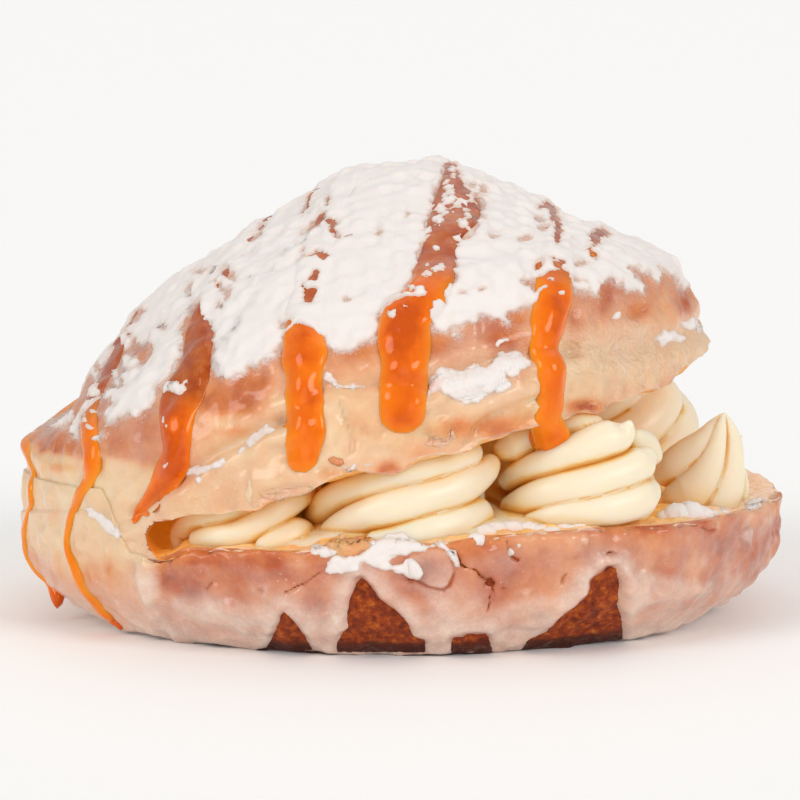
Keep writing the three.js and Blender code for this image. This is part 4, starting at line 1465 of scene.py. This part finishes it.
# Evenly spaced stations along a line, drawn onto the skin except where its end hangs free.
def stationsOf(guide):
    under = [doughSurface, creamSurface]
    seen = [(firstHit(under, eye, rayTo(x, y), 900), half) for x, y, half in guide["seen"]]
    stops = guide["behind"] + [(*hit[0], half) for hit, half in seen if hit] + guide.get("hanging", [])
    hanging = 2.8 if "hanging" in guide else 0
    stops = np.array(stops, dtype=float)[:, None, :]
    fine = throughStops(stops, np.linspace(0, 1, 600)[:, None])[:, 0]
    gone = distanceAlong(fine)
    count = max(int(gone[-1] / caramelShape["step"]), 8)
    stations = np.linspace(0, gone[-1], count)
    even = np.stack([np.interp(stations, gone, fine[:, k]) for k in range(4)], 1)
    left = gone[-1] * (1 - np.linspace(0, 1, count))
    free = smoothStep(-left, -hanging - 2.5, -hanging) if hanging else 0 * left
    centres, normals = [], []
    for row in even:
        found = [surface.find_nearest(Vector(row[:3]) * millimetre) for surface in under]
        place, normal, _, _ = min(found, key=lambda hit: hit[3])
        centres.append(np.array(place) / millimetre)
        normals.append(np.array(normal))
    centres, normals = np.array(centres), np.array(normals)
    centres = centres * (1 - free[:, None]) + even[:, :3] * free[:, None]
    kernel = np.array([1, 3, 5, 6, 5, 3, 1]) / 24
    for values in (centres, normals):
        for k in range(3):
            values[:, k] = np.convolve(np.pad(values[:, k], 3, mode="edge"), kernel, mode="valid")
    return centres, unit(normals), even[:, 3], free


def caramelLine(name, guide, seed):
    centres, normals, half, free = stationsOf(guide)
    along = unit(np.gradient(centres, axis=0))
    across = unit(np.cross(along, normals))
    gone = np.arange(len(centres)) * caramelShape["step"]
    track = np.stack([gone, 0 * gone, 0 * gone + seed * 7], 1)
    half = half * (1 + 0.08 * noise(track, 4.5, 61) + 0.05 * noise(track, 1.8, 63))
    filmFrom = caramelShape["filmAbove"].get(name, 60)
    thin = smoothStep(centres[:, 2], filmFrom - 2, filmFrom + 4)
    thick = (0.42 * half + 0.3) * (1 + 0.2 * noise(track, 6, 62)) * (1 - 0.6 * thin)
    thick = thick * (1 - free) + half * free
    left = gone[-1] - gone
    bulb = 1 + 0.3 * bell(left, half[-1], 2.2)
    roundEnd = np.sqrt(np.clip(1 - (1 - np.clip(left / half[-1], 0, 1)) ** 2, 0.02, 1))
    start = smoothStep(gone, -0.5, 4)
    half = half * roundEnd * (0.5 + 0.5 * start)
    thick = thick * bulb * roundEnd * (0.15 + 0.85 * start)
    sections = caramelShape["sections"]
    turn = 2 * math.pi * np.arange(sections) / sections
    side, rise = np.cos(turn), np.sin(turn)
    rows = centres[:, None] + across[:, None] * (half[:, None] * side)[..., None]
    under = [doughSurface, glazeSurface, creamSurface]
    for i, ring in enumerate(rows):
        if free[i] >= 1:
            continue
        for k, foot in enumerate(ring):
            hit = firstHit(under, foot + normals[i] * 4, -normals[i], 8)
            if hit:
                ring[k] = foot * free[i] + hit[0] * (1 - free[i])
    padded = np.pad(rows, ((2, 2), (0, 0), (0, 0)), mode="edge")
    rows = sum(weight * padded[k : k + len(rows)] for k, weight in enumerate((0.1, 0.23, 0.34, 0.23, 0.1)))
    upper = np.maximum(rise, 0) ** 1.1
    lower = np.minimum(rise, 0)
    height = thick[:, None] * upper + (0.7 + (thick[:, None] - 0.7) * free[:, None]) * lower
    rows = rows + normals[:, None] * height[..., None]
    rows[..., 2] = np.maximum(rows[..., 2], 0.05)
    points, faces = closedRings(rows, rows[0].mean(0), rows[-1].mean(0))
    depth = np.append((thick[:, None] * upper).ravel() / 2.0 + guide.get("deep", 0), [0.3, 0.3])
    onRings = slice(0, rows[..., 0].size)
    depth[onRings] = np.maximum(depth[onRings], np.repeat(free * 0.9, sections))
    thin = np.append(np.repeat(thin, sections), [thin[0], thin[-1]])
    return points, faces, depth, thin, (centres, half, thick)


def makeCaramelPiece():
    parts, depths, thins = [], [], []
    for number, (name, guide) in enumerate(caramelShape["lines"].items()):
        points, faces, depth, thin, track = caramelLine(name, guide, number)
        parts.append((points, faces))
        depths.append(depth)
        thins.append(thin)
        lineTracks.append(track)
    caramel = makePiece("caramel", *joinParts(parts), caramelMaterial)
    points, outward = cornersOf(caramel)
    inSugar, _ = sugarReach(points, outward, 40)
    dust = 0.12 * np.exp(-np.maximum(-inSugar, 0) / 0.4)
    depths, thins = np.concatenate(depths), np.concatenate(thins)
    setAttributes(caramel, {"depth": depths, "thin": thins, "dust": dust})
    placeOn(caramel)


lineTracks = []
makeCaramelPiece()


# Height of the caramel above the skin at these points.
def caramelUnder(points):
    flat = points.reshape(-1, 3)
    height = np.zeros(len(flat))
    for centres, half, thick in lineTracks:
        low, high = centres.min(0) - 5, centres.max(0) + 5
        near = np.where(((flat > low) & (flat < high)).all(1))[0]
        for part in np.array_split(near, max(len(near) // 20000, 1)):
            gap = np.linalg.norm(flat[part][:, None] - centres[None], axis=-1)
            closest = gap.argmin(1)
            away = gap[np.arange(len(part)), closest] / half[closest]
            rise = thick[closest] * np.clip(1 - away**2, 0, 1) ** 0.55
            height[part] = np.maximum(height[part], rise)
    return height.reshape(points.shape[:-1])


def makeSugarPiece(name, firstDegrees, lastDegrees, columns, rows):
    angle = np.radians(np.linspace(firstDegrees, lastDegrees, columns))
    rough = np.linspace(0.49, 0.8, 80)
    points, outward = skin(angle[::4], np.repeat(rough[:, None], angle[::4].size, 1))
    inside, front = sugarReach(points, outward)
    lowest = rough[np.argmax(inside > -0.4, axis=0)]
    lowest = np.array([lowest[max(c - 2, 0) : c + 3].min() for c in range(lowest.size)])
    lowest = np.interp(angle, angle[::4], lowest) - 0.012
    lowest = np.convolve(np.pad(lowest, 4, mode="edge"), np.ones(9) / 9, mode="valid")
    along = lowest + (0.999 - lowest) * np.linspace(0, 1, rows)[:, None] ** 1.05
    points, outward = skin(angle, along)
    inside, front = sugarReach(points, outward)
    inside = inside + 0.3 * noise(points, 1.5, 83) + 0.34 * noise(points, 0.7, 84)
    covered = caramelUnder(points)
    # Behind, the caramel shows through in places.
    torn = smoothStep(noise(points, 8, 90) + 0.6 * noise(points, 2.5, 92), -0.15, 0.25)
    bare = (1 - front) * smoothStep(covered, 0.5, 1.0) * torn
    inside = inside * (1 - bare) - 0.8 * bare
    thick = 0.06 + sugarShape["thick"] * (1 - np.exp(-np.maximum(inside, 0) / 0.4))
    crumbly = 0.03 * noise(points, 3.0, 88) + 0.02 * noise(points, 0.8, 89)
    thick = thick + crumbly * smoothStep(inside, 0.1, 0.8)
    thick = np.where(inside > 0, np.minimum(thick, inside * 4 + 0.1), np.maximum(inside * 4, -0.7))
    thick[0] = -0.7
    # Its ends dip under the neighbouring piece.
    degrees = np.degrees(angle)
    thick = thick - 0.4 * smoothStep(degrees - lastDegrees, -0.8, -0.1)
    thick = thick - 0.4 * smoothStep(firstDegrees - degrees, -0.8, -0.1)
    lumpy = (1 - front) * smoothStep(inside, 0.0, 1.2)
    thick = thick + lumpy * (0.24 * noise(points, 3.4, 93) + 0.12 * noise(points, 1.8, 94))
    surface = points + outward * (covered + thick)[..., None]
    keep = list(range(0, rows, rows // 6))[:-1] + [rows - 1]
    under = points[keep] - outward[keep] * sugarShape["under"]
    sugar = makePiece(name, *closedShell(surface, under, wraps=False), sugarMaterial)
    cover = np.append(smoothStep(inside, 0, 1.0), np.zeros(len(keep) * columns))
    setAttributes(sugar, {"cover": cover})
    placeOn(sugar)


makeSugarPiece("sugarLeft", -193.4, -90.4, 334, 240)
makeSugarPiece("sugarRight", -92, 12, 330, 240)
makeSugarPiece("sugarBehind", 10.4, 168.4, 240, 104)


looseBits = {
    # Patches of sugar over the lid's wall, the rim and the cheek: outline and height.
    "patches": [
        ([(184, 473), (188, 468), (195, 466), (202, 466), (210, 464), (217, 462), (224, 458), (225, 462),
          (221, 466), (214, 469), (206, 471), (198, 474), (190, 476), (185, 476)], 0.7),
        ([(196, 478), (200, 476), (203, 479), (200, 484), (196, 483)], 0.4),
        ([(246, 441), (249, 436), (255, 433), (261, 430), (267, 425), (271, 428), (275, 430), (272, 432),
          (266, 434), (260, 438), (254, 443), (250, 446), (247, 444)], 0.6),
        ([(236, 456), (238, 451), (241, 447), (246, 447), (243, 451), (240, 455), (237, 459)], 0.35),
        ([(322, 379), (324, 374), (327, 372), (332, 372), (333, 377), (337, 382), (343, 386), (350, 385),
          (358, 384), (364, 386), (367, 385), (364, 388), (357, 389), (350, 390), (344, 388), (340, 388),
          (337, 391), (333, 387), (328, 383)], 0.7),
        ([(347, 472), (350, 466), (355, 463), (359, 461), (361, 463), (357, 467), (352, 471), (349, 474)],
          0.5),
        ([(364, 465), (369, 462), (374, 463), (372, 466), (367, 467)], 0.4),
        ([(427, 381), (429, 379), (435, 375), (438, 369), (442, 368), (450, 369), (458, 371), (463, 370),
          (468, 366), (474, 363), (480, 366), (488, 366), (493, 364), (495, 358), (499, 352), (503, 351),
          (508, 353), (513, 351), (518, 351), (524, 355), (528, 359), (531, 362), (530, 366), (526, 369),
          (520, 371), (518, 376), (512, 377), (506, 374), (505, 378), (509, 381), (512, 385), (511, 388),
          (505, 391), (502, 393), (494, 393), (488, 396), (484, 399), (478, 403), (472, 403), (466, 406),
          (461, 402), (456, 400), (450, 397), (444, 394), (438, 391), (434, 393), (428, 396), (426, 391),
          (427, 386)], 1.0),
        ([(655, 340), (660, 333), (663, 329), (668, 331), (675, 330), (680, 334), (686, 339), (683, 342),
          (675, 342), (668, 343), (662, 346), (658, 342)], 0.7),
        ([(680, 322), (688, 320), (690, 315), (695, 315), (700, 322), (706, 328), (700, 333), (695, 330),
          (688, 332), (683, 328)], 0.6),
        ([(85, 508), (90, 507), (97, 512), (104, 515), (113, 524), (120, 530), (122, 535), (118, 539),
          (110, 535), (103, 528), (95, 520), (88, 516)], 0.35),
        ([(310, 551), (312, 546), (318, 544), (325, 546), (330, 549), (336, 550), (338, 552), (334, 555),
          (329, 556), (324, 558), (318, 556), (313, 554)], 0.5),
        ([(325, 573), (327, 566), (330, 559), (334, 555), (340, 557), (346, 558), (353, 556), (359, 554),
          (364, 550), (370, 547), (371, 543), (377, 539), (382, 537), (390, 534), (397, 533), (402, 532),
          (408, 533), (410, 538), (416, 539), (421, 542), (426, 545), (430, 545), (436, 542), (440, 540),
          (444, 545), (449, 549), (455, 551), (458, 556), (460, 562), (460, 568), (455, 566), (450, 561),
          (449, 556), (444, 550), (437, 547), (430, 548), (425, 552), (419, 552), (413, 551), (406, 555),
          (398, 556), (392, 558), (389, 562), (393, 565), (399, 564), (405, 561), (411, 559), (417, 561),
          (420, 567), (423, 573), (421, 578), (417, 579), (411, 579), (405, 576), (398, 573), (392, 571),
          (385, 571), (379, 568), (372, 566), (365, 563), (360, 565), (359, 571), (353, 572), (345, 573),
          (335, 574)], 0.8),
        ([(720, 508), (724, 507), (730, 510), (726, 512), (721, 510)], 0.4),
        ([(745, 505), (750, 500), (757, 497), (765, 498), (768, 500), (762, 502), (763, 507), (758, 508),
          (752, 510), (746, 510)], 0.5),
        ([(495, 345), (500, 339), (507, 338), (509, 341), (502, 343), (498, 348)], 0.4),
        ([(612, 318), (616, 312), (621, 312), (620, 317), (615, 321)], 0.3),
        (spot(518, 545, 3, 3), 0.25), (spot(511, 552, 2, 3), 0.25), (spot(344, 468, 3, 2), 0.3),
    ],
    # Heaps of sugar on the rim and inside it: place in the photograph's frame, half width, half
    # depth and height in mm.
    "heaps": [
        (476, 538, 1.3, 1.2, 0.9), (486, 532, 1.9, 1.5, 1.4), (498, 528, 1.7, 1.5, 1.3),
        (512, 528, 2.2, 1.6, 1.5), (528, 528, 1.9, 1.4, 1.2), (541, 529, 1.4, 1.2, 0.8),
        (552, 530, 1.3, 1.0, 0.6), (566, 527, 1.6, 0.9, 0.7), (579, 525, 1.2, 0.7, 0.5),
        (665, 517, 1.5, 1.5, 1.3), (676, 516, 2.3, 2.2, 2.4), (689, 515, 2.6, 2.4, 2.7),
        (702, 514, 2.0, 1.8, 1.7), (712, 514, 1.2, 1.2, 0.9), (724, 512, 0.9, 0.7, 0.5),
    ],
    # Torn bits of crust: outline, height, browning and milkiness.
    "flakes": [
        ([(327, 459), (333, 457), (342, 459), (343, 463), (338, 466), (331, 465)], 0.35, 0.5, 0.1),
        ([(257, 492), (270, 489), (285, 487), (300, 486), (315, 487), (312, 492), (295, 496), (280, 500),
          (262, 498)], 0.3, 0.3, 0.35),
        ([(248, 478), (252, 482), (253, 495), (250, 505), (246, 498)], 0.2, 0.1, 0.4),
        ([(430, 436), (445, 440), (452, 430), (455, 437), (448, 447), (436, 447), (425, 444)], 0.4, 0.36,
          0.35),
        ([(325, 545), (330, 540), (345, 538), (358, 537), (370, 535), (378, 536), (374, 545), (362, 550),
          (355, 555), (345, 557), (336, 555)], 0.6, 0.28, 0.0),
        (spot(332, 541, 4, 3), 0.8, 0.12, 0.1), (spot(342, 537, 4, 3), 0.7, 0.1, 0.2),
        (spot(352, 540, 5, 3), 0.6, 0.14, 0.2), (spot(366, 540, 5, 3), 0.6, 0.3, 0.0),
        (spot(338, 547, 5, 4), 0.6, 0.4, 0.0),
    ],
}


def cornersOfCells(grid):
    return np.stack([grid[:-1, :-1], grid[1:, :-1], grid[1:, 1:], grid[:-1, 1:]], -1)


# A thin layer over a drawn outline, laid on whatever the view meets there and closed behind.
def drape(outline, height, surfaces, step=0.9, rise=0.3, rough=0.3, lifted=1.0, seed=0):
    height = height * lifted
    corners = np.array(outline, float)
    low, high = corners.min(0) - 2.5, corners.max(0) + 2.5
    gridX, gridY = np.meshgrid(np.arange(low[0], high[0], step), np.arange(low[1], high[1], step))
    at = np.stack([gridX, gridY], -1)
    flat = np.dstack([at * pixelSize, 0 * gridX])
    ragged = 0.6 * noise(flat, 1.5, seed + 5) + 0.6 * noise(flat, 0.6, seed + 6)
    inside = insideOutline(at, outline) + rough * ragged
    coarse, fine = noise(flat, 1.4, seed + 7), noise(flat, 0.5, seed + 8)
    rows, columns = gridX.shape
    top, under = np.zeros((rows, columns, 3)), np.zeros((rows, columns, 3))
    depth = np.full((rows, columns), np.nan)
    for r, c in np.argwhere(inside > -0.5):
        hit = firstHit(surfaces, eye, rayTo(gridX[r, c], gridY[r, c]), 900)
        if hit is None:
            continue
        place, normal, away = hit
        lift = height * (1 - math.exp(-max(inside[r, c], 0) / rise)) + 0.02
        lift = lift * (1 + 0.22 * coarse[r, c] + 0.14 * fine[r, c])
        if inside[r, c] <= 0:
            lift = max(inside[r, c] * 2, -0.5)
        top[r, c] = place + normal * lift
        under[r, c] = place - normal * 0.6
        depth[r, c] = away / millimetre
    # Cells that lie inside the outline and don't bridge a step in depth.
    cells = np.nan_to_num(cornersOfCells(depth), nan=-1e4)
    kept = (cells.min(-1) > 0) & (np.ptp(cells, -1) < 1.6) & (cornersOfCells(inside).max(-1) > 0)
    index = cornersOfCells(np.arange(rows * columns).reshape(rows, columns))[kept]
    if not len(index):
        return None
    used, tight = np.unique(index, return_inverse=True)
    tight = tight.reshape(index.shape)
    count = len(used)
    faces = [tuple(face) for face in tight] + [tuple(face[::-1] + count) for face in tight]
    edges = {(a, b) for face in tight for a, b in zip(face, np.roll(face, -1))}
    faces += [(b, a, a + count, b + count) for a, b in edges if (b, a) not in edges]
    points = np.concatenate([top.reshape(-1, 3)[used], under.reshape(-1, 3)[used]])
    cover = np.concatenate([smoothStep(inside.ravel()[used], 0, 0.7), np.zeros(count)])
    return points, faces, cover


# Each drawn item is its outline, its height and then a value for each name.
def makeDraped(name, drawn, material, surfaces, names, **shape):
    parts, values = [], {key: [] for key in ("cover", *names)}
    for number, (outline, height, *tones) in enumerate(drawn):
        made = drape(outline, height, surfaces, seed=100 + number, **shape)
        if made:
            points, faces, cover = made
            parts.append((points, faces))
            values["cover"].append(cover)
            for key, tone in zip(names, tones):
                values[key].append(0 * cover + tone)
    piece = makePiece(name, *joinParts(parts), material)
    setAttributes(piece, {key: np.concatenate(numbers) for key, numbers in values.items()})
    placeOn(piece)
    return piece


flakes = makeDraped(
    "crustFlakes", looseBits["flakes"], crustMaterial, [doughSurface, glazeSurface], ["bake", "film"]
)
setAttributes(flakes, {"wet": np.full(len(flakes.data.vertices), 0.5)})
under = [doughSurface, glazeSurface, creamSurface, surfaceOf(flakes)]
makeDraped("sugarPatches", looseBits["patches"], sugarMaterial, under, [], step=0.8, lifted=0.6)


def makeHeaps():
    parts = []
    share = np.concatenate([[1.0], np.cos(np.linspace(0.06, math.pi / 2, 16))])[:, None]
    angle = (2 * math.pi * np.arange(60) / 60)[None, :]
    for number, (px, py, halfWidth, halfDepth, height) in enumerate(looseBits["heaps"]):
        hit = firstHit([doughSurface, glazeSurface, creamSurface], eye, rayTo(px, py), 900)
        middle = hit[0] + [0, halfDepth * 0.5, -0.1]
        away = np.stack([np.cos(angle) * halfWidth * share, np.sin(angle) * halfDepth * share], -1)
        rough = 1 + 0.1 * noise(np.dstack([away, 0 * share * angle]), 1.3, 300 + number)
        rise = 0.8 * height * np.sqrt(np.clip(1 - share**2, 0, 1)) + 0 * angle
        rise[0] = -1.0
        points = np.dstack([away * rough[..., None], rise * rough]) + middle
        points = points + 0.1 * np.stack([noise(points, 0.55, 320 + k) for k in range(3)], -1)
        parts.append(closedRings(points, middle - [0, 0, 1.0], points[-1].mean(0)))
    heaps = makePiece("sugarHeaps", *joinParts(parts), sugarMaterial)
    setAttributes(heaps, {"cover": np.ones(len(heaps.data.vertices))})
    placeOn(heaps)


makeHeaps()
